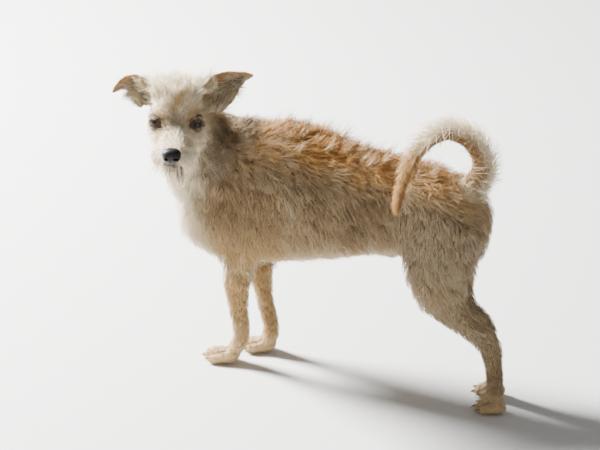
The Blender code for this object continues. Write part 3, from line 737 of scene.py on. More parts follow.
def toe_creases(points, label):
    """1 along the folds between the toes of each paw, 0 elsewhere."""
    crease = np.zeros(len(points))
    for name in PAWS:
        mine = np.flatnonzero(label == name)
        gaps = [np.linalg.norm(affine(toe.inverted(), points[mine]) / np.array(half), axis=1)
                for toe, half in toe_frames(name)]
        gaps = np.sort(gaps, axis=0)
        crease[mine] = ramp(gaps[1] - gaps[0], 0.40, 0.08) * ramp(gaps[0], 2.1, 1.6)
    return crease


SOFT = {"head": HEADS, "jaw": ("lower_jaw",), "trunk": ("chest", "loin")}
SOFT.update({name: (name,) for name in (
    "muzzle", "neck", "rump", "shoulder", "foreleg", "forepaw", "thigh", "shank", "hock", "hindpaw",
    "tail", "ear")})
# How far the fringe of the tail stands out, from the root to the tip
FRINGE = ((0, 0.12, 0.2, 0.3, 0.5, 0.62, 0.72, 0.82, 0.92, 1),
          (0.009, 0.016, 0.026, 0.034, 0.037, 0.033, 0.023, 0.014, 0.009, 0.007))
# The way the hair runs over each group of nodes
SHEETS = {
    "neck": (-0.15, 0.45, -0.9), "shoulder": (0, 0.35, -0.95), "foreleg": (0, 0.15, -1),
    "forepaw": (0, -1, -0.6), "thigh": (0, 0.28, -0.95), "shank": (0, 0.5, -0.9),
    "hock": (0, 0.1, -1), "hindpaw": (0, -1, -0.6), "rump": (0, 0.75, -0.55),
}


class Fields:
    """What the coat does at each vertex of the skin."""

    def __init__(self, surface, label):
        self.s, self.label = surface, label
        self.normal = unit(surface.spread(surface.normals(), 3))
        self.local = in_head(surface.v)
        self.drawn = surface.v - np.array(SHIFT)
        self.tail_at, self.tail_along, self.tail_out = tail_place(surface.v)
        self.ear_at, self.ear_cross, self.ear_along = ear_place(self.local)
        self.soft = SimpleNamespace(**{key: surface.spread(groups(label, *names), 10)
                                       for key, names in SOFT.items()})
        self.creases = surface.spread(toe_creases(surface.v, label), 1)
        self.seat = ramp(self.drawn[:, 1], 0.150, 0.205) * ramp(self.normal[:, 1], 0.2, 0.7)
        self.hackles = hackle_band(surface.v, label)
        middle, _, _, up = collar_axes()
        rise = np.exp(-(((surface.v - middle) @ up - 0.003) / 0.016) ** 2)
        self.over_collar = np.isin(label, ("neck", "chest", "head", "lower_jaw")) * rise
        self.bare_parts()
        self.lengths()
        self.lie()
        self.colours()

    def bare_parts(self):
        """The lips and the rims of the eyes, and where no hair grows."""
        lips = [self.s.spread(groups(self.label, name), 3) for name in ("muzzle", "lower_jaw")]
        self.lips = lips[0] * lips[1] * 4 * ramp(self.local[:, 1], 0.012, -0.010)
        face = np.isin(self.label, HEADS)
        gap = np.minimum(*(opening(self.local, side) for side in SIDES))
        self.rims = face * (0.55 * ramp(gap, 0.0090, 0.0035) + 0.45 * ramp(gap, 0.0046, 0.0020))
        front_lip = np.clip(self.lips, 0, 1) * ramp(np.abs(self.local[:, 0]), 0.019, 0.013)
        leather = (self.local - np.array(NOSE_CENTRE)) / (np.array(NOSE_HALF) + 0.0006)
        self.bare = np.max([face * ramp(gap, 0.0030, 0.0018), 0.9 * ramp(front_lip, 0.15, 0.5),
                            ramp(np.linalg.norm(leather, axis=1), 1.12, 1.0)], axis=0)

    def lengths(self):
        """The coat's depth, and the length and the width of its locks."""
        s, label, local, coat = self.s, self.label, self.local, settings().coat
        x, y, z = folded(local)
        bare_depth, length, width = np.array([COATS[name] for name in label]).T / 1000
        tail = np.isin(label, TAILS)
        depth = np.where(tail | np.isin(label, EARS), bare_depth, coat_depth(s.v, label) - SWELL)
        length = length * coat.length

        crown = ramp(z, 0.018, 0.036) * ramp(y, -0.004, 0.012)
        cheek = ramp(x, 0.028, 0.042) * ramp(z, 0.014, -0.004)
        throat = ramp(z, -0.020, -0.040) * ramp(y, -0.015, 0.010)
        near_eye = both_sides(local, (EYE_SET.x, EYE_SET.y, 0), (0.024, 0.026, 0.021))
        bridge = spot(local, (0, -0.036, -0.006), (0.015, 0.040, 0.014))
        nose = spot(local, (0, -0.066, -0.018), (0.020, 0.014, 0.016))
        brow = spot(np.stack([x, y, z], 1), (0.020, -0.002, 0.014), (0.013, 0.014, 0.009))
        ruff = ramp(y, 0.012, 0.034) * ramp(z, 0.030, 0.010)
        lip = self.soft.muzzle * ramp(x, 0.007, 0.016) * ramp(z, -0.012, -0.026)
        head = np.maximum(length + 0.018 * crown + 0.008 * cheek + 0.008 * throat, 0.029 * ruff)
        head = (head * (1 - 0.68 * near_eye) * (1 - 0.40 * bridge) * (1 - 0.50 * nose)
                + 0.008 * brow + 0.013 * lip)
        face = np.isin(label, HEADS)
        length = np.where(face, head, length)
        depth = np.where(face, depth + 0.003 * brow + 0.0060 * crown + 0.004 * lip, depth)

        depth *= 1 - 0.70 * self.creases
        depth += 0.0085 * self.over_collar
        length = length + 0.013 * self.over_collar
        shaggy = (ramp(self.drawn[:, 1], -0.200, -0.245) * np.isin(label, ("chest", "neck"))
                  * np.clip(s.v[:, 2] / 0.25, 0, 1))
        under = ramp(self.normal[:, 2], -0.35, -0.8) * np.isin(label, ("chest", "loin"))
        breeches = self.seat * np.isin(label, ("rump", "thigh_left", "thigh_right"))
        clumps = np.clip(0.5 + 0.9 * grain(s.v, 0.016, 37), 0, 1.2)
        depth += (0.0060 * shaggy + 0.0030 * under + 0.0040 * breeches) * clumps
        length += (0.0110 * shaggy + 0.0080 * under + 0.0120 * breeches) * clumps
        tufts = 0.62 + 0.50 * grain(s.v * np.array((1, 1, 0.6)), 0.014, 31)
        depth += self.hackles * (0.014 * np.clip(tufts, 0, 1.1) - 0.001)
        length += self.hackles * 0.011

        fringe = ramp(np.clip((self.normal * self.tail_out).sum(1), 0, 1), 0.15, 0.75)
        depth = np.where(tail, depth + (np.interp(self.tail_at, *FRINGE) - depth) * fringe, depth)
        length = np.where(tail, np.maximum(depth * 1.3, 0.009), length)
        self.fringe = tail * fringe
        self.depth, self.length = s.spread(depth, 8), s.spread(length, 6)
        self.width = s.spread(width, 8) * coat.width

    def lie(self):
        """The way the hair runs, as a direction along the skin."""
        local, s, soft = self.local, self.s, self.soft
        sign, (x, _, z) = np.sign(local[:, 0]), folded(local)

        def ways(*columns):
            return np.stack(np.broadcast_arrays(*columns), 1)

        head = unit(local - np.array((0, -0.075, -0.006)))
        head[:, 2] += 0.9 * ramp(z, 0.012, 0.035)
        cheek = ramp(x, 0.022, 0.040) * ramp(z, 0.010, -0.012)
        head += cheek[:, None] * ways(sign * 0.4, -0.1, -0.9)
        low = soft.muzzle * ramp(x, 0.004, 0.012)
        head += low[:, None] * ways(sign * 0.35, -0.05, -0.9)
        head += soft.jaw[:, None] * np.array((0, -0.35, -1.3))
        ears = self.ear_along + ways(0, 0, -0.25 * self.ear_cross)
        flow = head @ TURN.T * soft.head[:, None] + ears @ TURN.T * soft.ear[:, None] * 2
        for key, way in SHEETS.items():
            flow += getattr(soft, key)[:, None] * np.array(way)
        top = ramp(self.normal[:, 2], -0.2, 0.8)
        front = ramp(self.drawn[:, 1], -0.20, -0.27)
        trunk = ways(0, 0.50 + 0.5 * top - 0.6 * front, -0.95 + 0.8 * top - 0.8 * front)
        flow += trunk * soft.trunk[:, None]
        flow += (self.tail_along + self.tail_out * 0.25) * soft.tail[:, None] * 2
        flow += 0.25 * np.stack([grain(s.v, 0.035, k) for k in (1, 2, 3)], 1)
        for _ in range(8):
            flow = s.spread(square_to(flow, self.normal), 1)
        self.flow = square_to(flow, self.normal)

    def colours(self):
        """Masks from 0 to 1: warm (wheaten), rust, grey, dark and dark tips, over cream."""
        soft, p, local = self.soft, self.drawn, self.local
        up, high = self.normal[:, 2], p[:, 2]
        streak = grain(p * np.array((1, 0.55, 0.8)), 0.013, 11) * 0.6 + grain(p, 0.03, 12) * 0.4
        forelegs = soft.foreleg + soft.forepaw
        back = ramp(up, 0.25, 0.85) * ramp(high, 0.27, 0.32)
        trunk = soft.trunk + soft.rump + soft.shoulder + 0.6 * soft.neck
        flank = trunk * ramp(high, 0.17, 0.26) * (1 - back)
        rust = trunk * back * (0.58 + 0.75 * streak) + soft.foreleg * 0.14
        # The brown-grey of the flanks, upper neck, thighs and legs is partly the coat's own colour
        # and partly painted shade, deepest on the hocks
        grey = (flank * (0.60 + 0.30 * streak) + soft.thigh * ramp(high, 0.12, 0.22) * 0.62
                + 0.60 * soft.neck * ramp(high, 0.24, 0.29) + soft.hock * 0.74
                + soft.shank * 0.56 + soft.foreleg * 0.20 + 0.90 * self.creases)
        warm = (trunk * 0.80 + soft.thigh * 0.55
                + forelegs * (0.88 + 0.27 * ramp(high, 0.020, 0.110)) + soft.shank * 0.65
                + soft.hock * 0.85 + soft.shoulder * 0.15 + 0.25 * streak + 0.70 * soft.hindpaw)
        front = (ramp(p[:, 1], -0.205, -0.262) * (1 - soft.head) * (1 - forelegs)
                 * (1 - 0.7 * ramp(-self.normal[:, 0], 0.25, 0.75)) * (0.88 + 0.25 * streak))
        belly = ramp(up, -0.3, -0.8) * soft.trunk
        seat = np.clip(self.seat * (soft.rump + soft.thigh), 0, 1)
        rust *= 1 - 0.9 * front
        grey *= (1 - 0.9 * front) * (1 - 0.6 * seat) * (1 - belly)
        warm *= (1 - 0.82 * front) * (1 - 0.45 * belly)

        x, y, z = folded(local)
        tuft = grain(local * np.array((1, 0.35, 0.35)), 0.0055, 21)
        forehead = ramp(z, 0.008, 0.018) * ramp(z, 0.046, 0.028) * ramp(x, 0.011, 0.004)
        round_eye = both_sides(local, (0.0215, -0.004, 0.004), (0.015, 0.022, 0.014))
        stop = spot(local, (0, -0.010, 0.004), (0.0095, 0.020, 0.014))
        side_of_head = ramp(x, 0.026, 0.038) * ramp(y, 0.008, 0.028) * ramp(z, 0.026, 0.010)
        bridge = spot(local, (0, -0.048, -0.006), (0.010, 0.020, 0.010))
        behind_nose = spot(local, (0, -0.058, -0.010), (0.011, 0.013, 0.009))
        # The dark spot under the nose is partly the dark lips and partly painted shadow under the
        # nose
        chin = spot(local, (0, -0.064, -0.0335), (0.018, 0.020, 0.0105))
        cheeks = ramp(x, 0.013, 0.028) * ramp(z, 0.018, 0.002) * ramp(y, 0.030, -0.005)
        warm += soft.head * (0.75 * forehead * ramp(tuft, -0.5, 0.2) + 0.85 * round_eye
                             + 0.38 * cheeks + 0.75 * side_of_head + 0.30 * bridge)
        warm += 0.25 * soft.jaw
        rust += soft.head * 0.32 * round_eye
        # Grey on the sides of the head is partly their own tan-grey and partly painted shade
        grey += soft.head * (0.85 * stop + 0.30 * behind_nose
                             + 0.55 * side_of_head * ramp(tuft, -0.6, 0.3))
        dark = (0.85 * np.clip(self.lips, 0, 1) + 0.55 * soft.jaw * ramp(tuft, 0.30, 0.60)
                + 1.5 * chin)

        facing = self.normal @ TURN
        rim = ramp(self.ear_cross, 0.06, -0.24) + 0.8 * ramp(self.ear_at, 0.72, 0.92)
        behind = np.clip(np.maximum(ramp(facing[:, 1], -0.05, 0.35), rim), 0, 1)
        inner = soft.ear * (1 - behind)
        warm += soft.ear * 0.3
        rust += soft.ear * (0.16 + 0.84 * behind)
        # Painted shade in the hollow of each ear: it is greyed and darkened, most under its upper
        # edge
        grey += soft.ear * behind * 0.22 + inner * 0.40
        dark += (soft.ear * behind * 0.12
                 + inner * (0.60 + 0.30 * tuft) * ramp(self.ear_cross, 0.9, 0.2))
        # Painted shade: the folds between the toes are darkened here, and greyed by the 0.90 above
        dark = np.maximum(np.maximum(dark, self.rims), 0.35 * self.creases)

        inner_tail = soft.tail * (1 - ramp(self.fringe, 0.2, 0.7)) * ramp(self.tail_at, 0.15, 0.3)
        drop = ramp(self.tail_at, 0.56, 0.74)
        pale = 1 - 0.6 * ramp(self.fringe, 0.3, 0.8) * (1 - drop)
        warm += inner_tail * 0.5 + soft.tail * (0.05 + 0.85 * drop) * pale
        rust += inner_tail * 0.75 + soft.tail * ramp(self.tail_at, 0.60, 0.90) * 0.62
        grey += inner_tail * 0.45
        flank_tips = ramp(grain(p, 0.022, 14), -0.1, 0.7) * (1 - back)
        tipped = 0.9 * soft.jaw * ramp(y, -0.015, -0.035) + 0.20 * trunk * flank_tips
        masks = {"warm": warm, "rust": rust, "grey": grey, "dark": dark, "tipped": tipped}
        self.masks = {key: np.clip(self.s.spread(value, 1), 0, 1) for key, value in masks.items()}


# ------------------------------------------------------------------ locks of hair

MADE = {}       # what growing the skin leaves for the later pieces
STRAYING = 16   # degrees by which whole patches of locks turn aside
WAVE = 0.0009   # how far a lock waves from side to side
TAPER = 0.7


def grown(key):
    if key not in MADE:
        raise RuntimeError("The skin has to be grown first")
    return MADE[key]


def lock_pattern(segments):
    """The triangles of a closed three-sided lock."""
    top = 3 * (segments - 1)
    tip = [(top + c, top + (c + 1) % 3, top + 3) for c in range(3)]
    return np.concatenate([[(0, 2, 1)], bands(segments, 3), tip])


def lock_points(spine, across, ridge, width, height):
    """The points of three-sided locks that taper along their middle lines."""
    segments = spine.shape[1] - 1
    rings = []
    for k in range(segments):
        w = (width * (1 - k / segments) ** TAPER)[:, None]
        centre = spine[:, k]
        rings += [centre + across * w * 0.5, centre - across * w * 0.5, centre + ridge * w * height]
    return np.stack(rings + [spine[:, segments]], 1)


def lock_piece(name, points, values, places, coat):
    """A piece of locks, each with its values and with a small patch on the skin's unwrap."""
    count, each = points.shape[:2]
    segments = each // 3
    pattern = lock_pattern(segments)
    triangles = (pattern[None] + (np.arange(count) * each)[:, None, None]).reshape(-1, 3)
    mesh = mesh_from(name, points.reshape(-1, 3), triangles)
    for key, value in values.items():
        numbers(mesh, key, np.repeat(np.broadcast_to(value, count), each))
    along = np.append(np.repeat(np.arange(segments), 3), segments) / segments
    numbers(mesh, "along", np.tile(along, count))
    across = np.append(np.tile((0, 1, 2), segments), 1) / 2
    offset = (np.stack([across, along], 1) - 0.5) * PATCH
    uv = places[:, None, None, :] + offset[pattern][None]
    layer = mesh.uv_layers.new(name="OFBake")
    layer.data.foreach_set("uv", np.clip(uv, 0, 1).astype(np.float32).ravel())
    obj = placed(name, mesh)
    mesh.materials.append(coat)
    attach(obj, "root")


def lay_locks(name, names, count, segments, look, seed, coat):
    """Tapered three-sided locks rooted on the skin of some nodes and running along it."""
    fields, tree, look = grown("fields"), grown("tree"), {**PLAIN_LOOK, **look}
    rng, s = np.random.default_rng(seed), fields.s
    weight = groups(fields.label, *names) * (1 - fields.bare)
    weight *= (1 + fields.hackles) * (1 + 1.2 * fields.over_collar)
    areas = s.areas() * weight[s.t].mean(1) / np.maximum(fields.width[s.t].mean(1), 1e-4)
    face = rng.choice(len(areas), count, p=areas / areas.sum())
    r1, r2 = np.sqrt(rng.random(count)), rng.random(count)
    mix = np.stack([1 - r1, r1 * (1 - r2), r1 * r2], 1)

    def mixed(corners):
        return (corners * (mix if corners.ndim == 2 else mix[:, :, None])).sum(1)

    def at(values):
        return mixed(values[s.t[face]])

    root, depth, length = at(s.v), at(fields.depth), at(fields.length)
    values = {key: at(value) for key, value in fields.masks.items()}
    values["vary"] = rng.random(count)
    length = length * rng.uniform(0.72, 1.22, count)
    rise = depth * np.clip(0.86 + look["tall"] * rng.standard_normal(count), 0.35, 1.12)
    wild = rng.random(count) < look["wild"]
    rise *= np.where(wild, 1.22, 1.0)
    rise = np.minimum(rise, length * 0.93)
    run = np.sqrt(np.maximum(length ** 2 - rise ** 2, (0.25 * length) ** 2))
    stray = np.deg2rad(look["stray"]) * rng.standard_normal(count)
    stray += np.deg2rad(STRAYING) * grain(root, 0.012, seed + 5)
    stray += np.where(wild, np.deg2rad(35) * rng.standard_normal(count), 0)
    stray = stray[:, None]
    base, near = root, s.t[face, mix.argmax(1)]
    spine = [root - fields.normal[near] * ROOT_DEPTH]
    for k in range(1, segments + 1):
        normal, flow = fields.normal[near], fields.flow[near]
        turned = flow * np.cos(stray) + np.cross(normal, flow) * np.sin(stray)
        base, reached, _ = nearest(tree, base + turned * (run / segments)[:, None])
        near = s.t[reached, 0]
        height = rise * (1 - (1 - k / segments) ** look["arch"])
        spine.append(base + fields.normal[near] * height[:, None])
    spine = np.stack(spine, 1)

    heads = rng.choice(count, max(count // look["clump"], 2), replace=False)
    guide = heads[closest_of(root[heads], root)]
    part = np.linspace(0, 1, segments + 1)[None, :, None]
    pull = look["pull"] * rng.uniform(0.5, 1.2, count) * (1 - 0.8 * wild)
    pull = np.clip(pull[:, None, None] * part ** 1.3, 0, 0.9)
    close = np.linalg.norm(root - root[guide], axis=1) < CLUMP_REACH
    spine += (spine[guide] - spine) * pull * close[:, None, None]
    along = unit(spine[:, -1] - spine[:, 0])
    across = unit(np.cross(along, fields.normal[s.t[face, 0]]))
    wave = WAVE * np.sin(part * rng.uniform(2.5, 6, count)[:, None, None]
                         + rng.uniform(0, 6.28, count)[:, None, None])
    spine += across[:, None, :] * wave * part
    width = at(fields.width) * rng.uniform(0.75, 1.25, count) * np.where(wild, 0.7, 1.0)
    points = lock_points(spine, across, np.cross(across, along), width, 0.45)
    points[..., 2] = np.maximum(points[..., 2], FLOOR_GAP)
    lock_piece(name, points, values, mixed(grown("uv")[face]), coat)


def draws(rng, count, *ranges):
    """Even random draws from each range, as columns; a number stays as it is."""
    return np.stack([rng.uniform(*one, count) if isinstance(one, tuple)
                     else np.broadcast_to(one, count) for one in ranges], 1)


def either_side(rng, count):
    """1 or -1 for the left or the right side."""
    return np.where(rng.random(count) < 0.5, 1, -1)


def lay_hair(name, seed, roots, ways, lengths, width, masks, droop=0.15, segments=3):
    """Single long hairs from chosen roots, each with its own way and length."""
    rng, count = np.random.default_rng(seed), len(roots)
    base, face, _ = nearest(grown("tree"), roots)
    ways = unit(ways)
    bow = unit(np.cross(ways, rng.standard_normal((count, 3))))
    bow = bow * draws(rng, count, (0.0, 0.22)) - np.array((0, 0, droop))
    spine = [base - ways * 0.001 + (ways * t + bow * t * t) * lengths[:, None]
             for t in np.arange(segments + 1) / segments]
    across = unit(np.cross(ways, rng.standard_normal((count, 3))))
    points = lock_points(np.stack(spine, 1), across, np.cross(across, ways),
                         width * rng.uniform(0.75, 1.25, count), 0.5)
    values = {**dict.fromkeys(grown("fields").masks, 0.0), **masks, "vary": rng.random(count)}
    lock_piece(name, points, values, grown("uv")[face].mean(1), bpy.data.materials["coat"])


def lay_head_hair(name, seed, roots, ways, lengths, width, masks, droop=0.15):
    """Long hairs whose roots and ways are in the head's own frame."""
    lay_hair(name, seed, affine(HEAD, roots), ways @ TURN.T, lengths, width, masks,
             droop)


# ------------------------------------------------------------------ materials

COLUMN, ROW = 200, 160    # how far apart nodes are laid in a tree

def move_left(made, limit):
    """Keeps a node, and those that feed it, on the left of a limit."""
    if made.location.x > limit:
        made.location.x = limit
        for link in [link for socket in made.inputs for link in socket.links]:
            move_left(link.from_node, limit - COLUMN)


def feed(tree, made, values):
    """Sets the named inputs of a node, or links them to nodes on its left."""
    for key, value in values.items():
        if isinstance(value, NodeSocket):
            tree.links.new(value, made.inputs[key])
            move_left(value.node, made.location.x - COLUMN)
        else:
            made.inputs[key].default_value = value


def node(tree, kind, inputs=None, **options):
    """A node with its options and its inputs, under those made before it."""
    made = tree.nodes.new(kind)
    made.location.y = -ROW * len(tree.nodes)
    for key, value in options.items():
        setattr(made, key, value)
    feed(tree, made, inputs or {})
    return made


def node_group(name, takes, gives):
    """A group with its sockets, what its input node gives and its output node."""
    group = bpy.data.node_groups.new(name, "ShaderNodeTree")
    for in_out, sockets in (("INPUT", takes), ("OUTPUT", gives)):
        for socket, kind in sockets.items():
            group.interface.new_socket(socket, in_out=in_out, socket_type="NodeSocket" + kind)
    return group, node(group, "NodeGroupInput").outputs, node(group, "NodeGroupOutput")


def blend_colour(tree, first, second, share):
    mix = {6: first, 7: second, 0: share}
    return node(tree, "ShaderNodeMix", mix, data_type="RGBA", blend_type="MIX").outputs[2]


def sums(tree, operation, *inputs, clamp=False):
    return node(tree, "ShaderNodeMath", dict(enumerate(inputs)), operation=operation,
                use_clamp=clamp).outputs[0]


def shades(colour, *factors):
    """A colour multiplied by each factor, for sockets of colour."""
    return [(*(factor * c for c in colour), 1) for factor in factors]


def relief(tree, shader, height, strength, distance, invert=False):
    """Bumps the shader's normal by a height."""
    bump = node(tree, "ShaderNodeBump",
                {"Height": height, "Strength": strength, "Distance": distance}, invert=invert)
    feed(tree, shader, {"Normal": bump.outputs[0]})


def coat_colour_group():
    """Shared colouring of skin and coat: cream, over-laid with wheaten, rust, grey and dark."""
    layers = {"warm": "Wheaten", "rust": "Rust", "grey": "Grey", "dark": "Dark"}
    group, given, out = node_group("Terrier coat colours", dict.fromkeys(
        ("Cream", *layers.values()), "Color"), {"Colour": "Color"})
    value = {key: node(group, "ShaderNodeAttribute", attribute_name=key).outputs["Fac"]
             for key in (*layers, "tipped", "vary", "along")}
    spread = sums(group, "MULTIPLY_ADD", value["vary"], 0.5, 0.75)
    colour = given["Cream"]
    for key, name in layers.items():
        share = sums(group, "MULTIPLY", value[key], spread, clamp=True)
        colour = blend_colour(group, colour, given[name], share)
    end = sums(group, "POWER", value["along"], 2.0)
    tips = sums(group, "MULTIPLY", sums(group, "MULTIPLY", value["tipped"], end), value["vary"])
    colour = blend_colour(group, colour, given["Dark"], tips)
    light = sums(group, "MULTIPLY_ADD", value["vary"], 0.40, 0.76)
    # Painted shade deep in the coat: each lock darkens towards its root
    deep = sums(group, "MULTIPLY_ADD", value["along"], 0.22, 0.86)
    both = sums(group, "MULTIPLY", light, deep)
    shaded = node(group, "ShaderNodeHueSaturation", {"Color": colour, "Value": both})
    feed(group, out, {"Colour": shaded.outputs[0]})
    return group


def new_material(name, **inputs):
    """A material, its nodes and its shader with the inputs given; _ stands for a space."""
    material = bpy.data.materials.new(name)
    material.use_nodes = True
    tree = material.node_tree
    shader = tree.nodes["Principled BSDF"]
    feed(tree, shader, {key.replace("_", " "): value for key, value in inputs.items()})
    return material, tree, shader


def coat_material(name, roughness, bump=0.0):
    """Hair or skin in the shared colours of the coat."""
    material, tree, shader = new_material(name, Roughness=roughness, Specular_IOR_Level=0.3)
    colours = node(tree, "ShaderNodeGroup", node_tree=grown("group"))
    for socket in colours.inputs:
        socket.default_value = (*getattr(settings().palette, socket.name.lower()), 1)
    feed(tree, shader, {"Base Color": colours.outputs[0]})
    if bump:
        place = node(tree, "ShaderNodeTexCoord").outputs["Object"]
        noise = node(tree, "ShaderNodeTexNoise", {"Vector": place, "Scale": 900, "Detail": 3})
        relief(tree, shader, noise.outputs[0], bump, 0.0006)
    return material


def mottling_group():
    """Shared wear of horn and steel: two shades and two roughnesses mixed by one fine noise."""
    group, given, out = node_group(
        "Fine mottling", {"First": "Color", "Second": "Color", "Smooth": "Float", "Rough": "Float",
                          "Scale": "Float"},
        {"Colour": "Color", "Roughness": "Float", "Height": "Float"})
    place = node(group, "ShaderNodeTexCoord").outputs["Object"]
    noise = node(group, "ShaderNodeTexNoise",
                 {"Vector": place, "Scale": given["Scale"], "Detail": 4}).outputs[0]
    matt = node(group, "ShaderNodeMapRange",
                {"Value": noise, "To Min": given["Smooth"], "To Max": given["Rough"]})
    shade = blend_colour(group, given["First"], given["Second"], noise)
    feed(group, out, {"Colour": shade, "Roughness": matt.outputs[0], "Height": noise})
    return group


def mottled(name, colour, scale, rough, metallic=0.0):
    """Horn or steel with the shared fine mottling."""
    material, tree, shader = new_material(name, Metallic=metallic)
    first, second = shades(colour, 0.35, 1)
    wear = node(tree, "ShaderNodeGroup",
                node_tree=bpy.data.node_groups.get("Fine mottling") or mottling_group())
    feed(tree, wear, {"First": first, "Second": second, "Smooth": rough[0], "Rough": rough[1],
                      "Scale": scale})
    feed(tree, shader, {"Base Color": wear.outputs["Colour"],
                        "Roughness": wear.outputs["Roughness"]})
    relief(tree, shader, wear.outputs["Height"], 0.35, 0.0002)
    return material


# ------------------------------------------------------------------ pieces

def unwrap(obj, margin=0.01):
    """OFBake: a piece's own unwrap."""
    bpy.ops.object.select_all(action="DESELECT")
    bpy.context.view_layer.objects.active = obj
    obj.select_set(True)
    bpy.ops.object.mode_set(mode="EDIT")
    bpy.ops.mesh.select_all(action="SELECT")
    bpy.ops.uv.smart_project(angle_limit=math.radians(66), island_margin=margin)
    bpy.ops.object.mode_set(mode="OBJECT")
    obj.select_set(False)
    obj.data.uv_layers[0].name = "OFBake"


def skin_surface():
    """The skin: the flesh sunk by the coat's depth, with its lids opened and its toes folded."""
    surface = Surface(*flesh_surface())
    label = nearest_flesh(surface.v)
    depth = surface.spread(coat_depth(surface.v, label), 14)
    body = groups(label, "chest", "loin", "rump", "neck", "shoulder", "thigh")
    sink(surface, depth, surface.spread(body, 12))
    flatten_knobs(surface, label)
    surface.v[:, 2] = np.maximum(surface.v[:, 2], FLOOR_GAP)
    surface = Surface(*modified(surface.v, surface.t, "DECIMATE", use_collapse_triangulate=True,
                                ratio=SKIN_TRIANGLES / len(surface.t)))
    lay_lids(surface, 0)
    eyes = [HEAD @ Vector(eye_axes(side)[0]) for side in SIDES]
    for reach in (0.0175, 0.0120):
        surface = finer(surface, eyes, reach)
        lay_lids(surface, 0)
    lay_lids(surface, 1)
    label = nearest_flesh(surface.v)
    fold = surface.spread(toe_creases(surface.v, label), 1) * (surface.v[:, 2] > 0.003)
    surface.v = surface.v - surface.normals() * (TOE_FOLD * fold)[:, None]
    return surface, label


def build_skin():
    """The closed skin, and what the coat needs to know about it."""
    surface, label = skin_surface()
    fields = Fields(surface, label)
    MADE.update(fields=fields, tree=search_tree(surface.v, surface.t), group=coat_colour_group())
    mesh = mesh_from("skin", surface.v, surface.t)
    for key, values in fields.masks.items():
        numbers(mesh, key, values)
    numbers(mesh, "vary", 0.35 + 0.25 * grain(surface.v, 0.004, 3))
    # Painted shade: the skin under the coat is darkened as a lock is a quarter of its length from
    # its root
    numbers(mesh, "along", np.full(surface.n, 0.25))
    obj = placed("skin", mesh)
    mesh.materials.append(coat_material("skin", 0.75, 0.4))
    unwrap(obj, 0.001)
    uv = np.empty(len(mesh.loops) * 2, np.float32)
    mesh.uv_layers[0].data.foreach_get("uv", uv)
    MADE["uv"] = uv.reshape(-1, 3, 2).astype(float)
    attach(obj, "root")
    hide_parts(*COATS)


def build_coat():
    """The coat's pieces, all of one material."""
    coat = coat_material("coat", 0.58)
    full = settings().coat.fullness
    for number, (name, names, count, segments, slot, look) in enumerate(HAIR):
        lay_locks(name, names, int(count * full), segments, look, 100 + number, coat)


def build_ear_hair(count=900):
    """Long pale hairs that stand across the hollow of each ear from its front edge and its root."""
    rng = np.random.default_rng(77)
    roots, ways, lengths = [], [], []
    for sign in (1, -1):
        middles, half, across, along = ear_rows(sign)
        t = 0.52 * rng.random(count) ** 1.5
        c = rng.uniform(-0.30, 1.0, count)
        k = (t * (len(middles) - 1)).astype(int)
        roots.append(middles[k] + across[k] * (half[k] * c)[:, None] + np.array((0, -0.012, 0)))
        way = along[k] + across[k] * draws(rng, count, (-0.35, 0.65))
        way += np.array((0, -1, 0)) * draws(rng, count, (0.05, 0.55))
        ways.append(way + rng.normal(0, 0.12, (count, 3)))
        lengths.append(rng.uniform(0.009, 0.026, count) * (1.15 - t))
    masks = {"warm": 0.40, "grey": rng.random(2 * count) ** 1.5 * 0.6}
    lay_head_hair("ear_hair", 78, np.concatenate(roots), np.concatenate(ways),
                  np.concatenate(lengths), 0.00055, masks)


def build_brows(count=260):
    """Hairs that start over each eye and hang outward across its upper lid."""
    rng = np.random.default_rng(83)
    sign = either_side(rng, count)
    x = rng.uniform(0.012, 0.035, count)
    y = np.interp(x, (0.012, 0.035), (-0.012, 0.006))
    roots = draws(rng, count, sign * x, y, (0.0135, 0.0215))
    ways = draws(rng, count, (0.3, 1.0), (-0.95, -0.35), (-0.15, 0.55))
    ways[:, 0] *= sign
    lengths = rng.uniform(0.006, 0.0115, count)
    masks = {"warm": rng.uniform(0.2, 0.8, count), "grey": rng.uniform(0, 0.5, count)}
    lay_head_hair("brows", 84, roots, ways, lengths, 0.0006, masks, droop=0.35)


def build_crown(tufts=64, each=12):
    """Ragged pale tufts that stand up and outward on the crown."""
    rng, hairs = np.random.default_rng(85), (tufts * each, 3)
    middle = draws(rng, tufts, (-0.034, 0.034), (-0.002, 0.045), 0.040)
    way = unit(draws(rng, tufts, middle[:, 0] * 26, (-0.5, 0.35), (0.9, 1.3)))
    reach = rng.uniform(0.020, 0.034, tufts)
    roots = np.repeat(middle, each, 0) + rng.normal(0, 0.0035, hairs)
    ways = np.repeat(way, each, 0) + rng.normal(0, 0.09, hairs)
    lengths = np.repeat(reach, each) * rng.uniform(0.7, 1.1, tufts * each)
    masks = {"warm": np.repeat(rng.uniform(0, 0.2, tufts), each)}
    lay_head_hair("crown_tufts", 86, roots, ways, lengths, 0.0007, masks, droop=0.1)


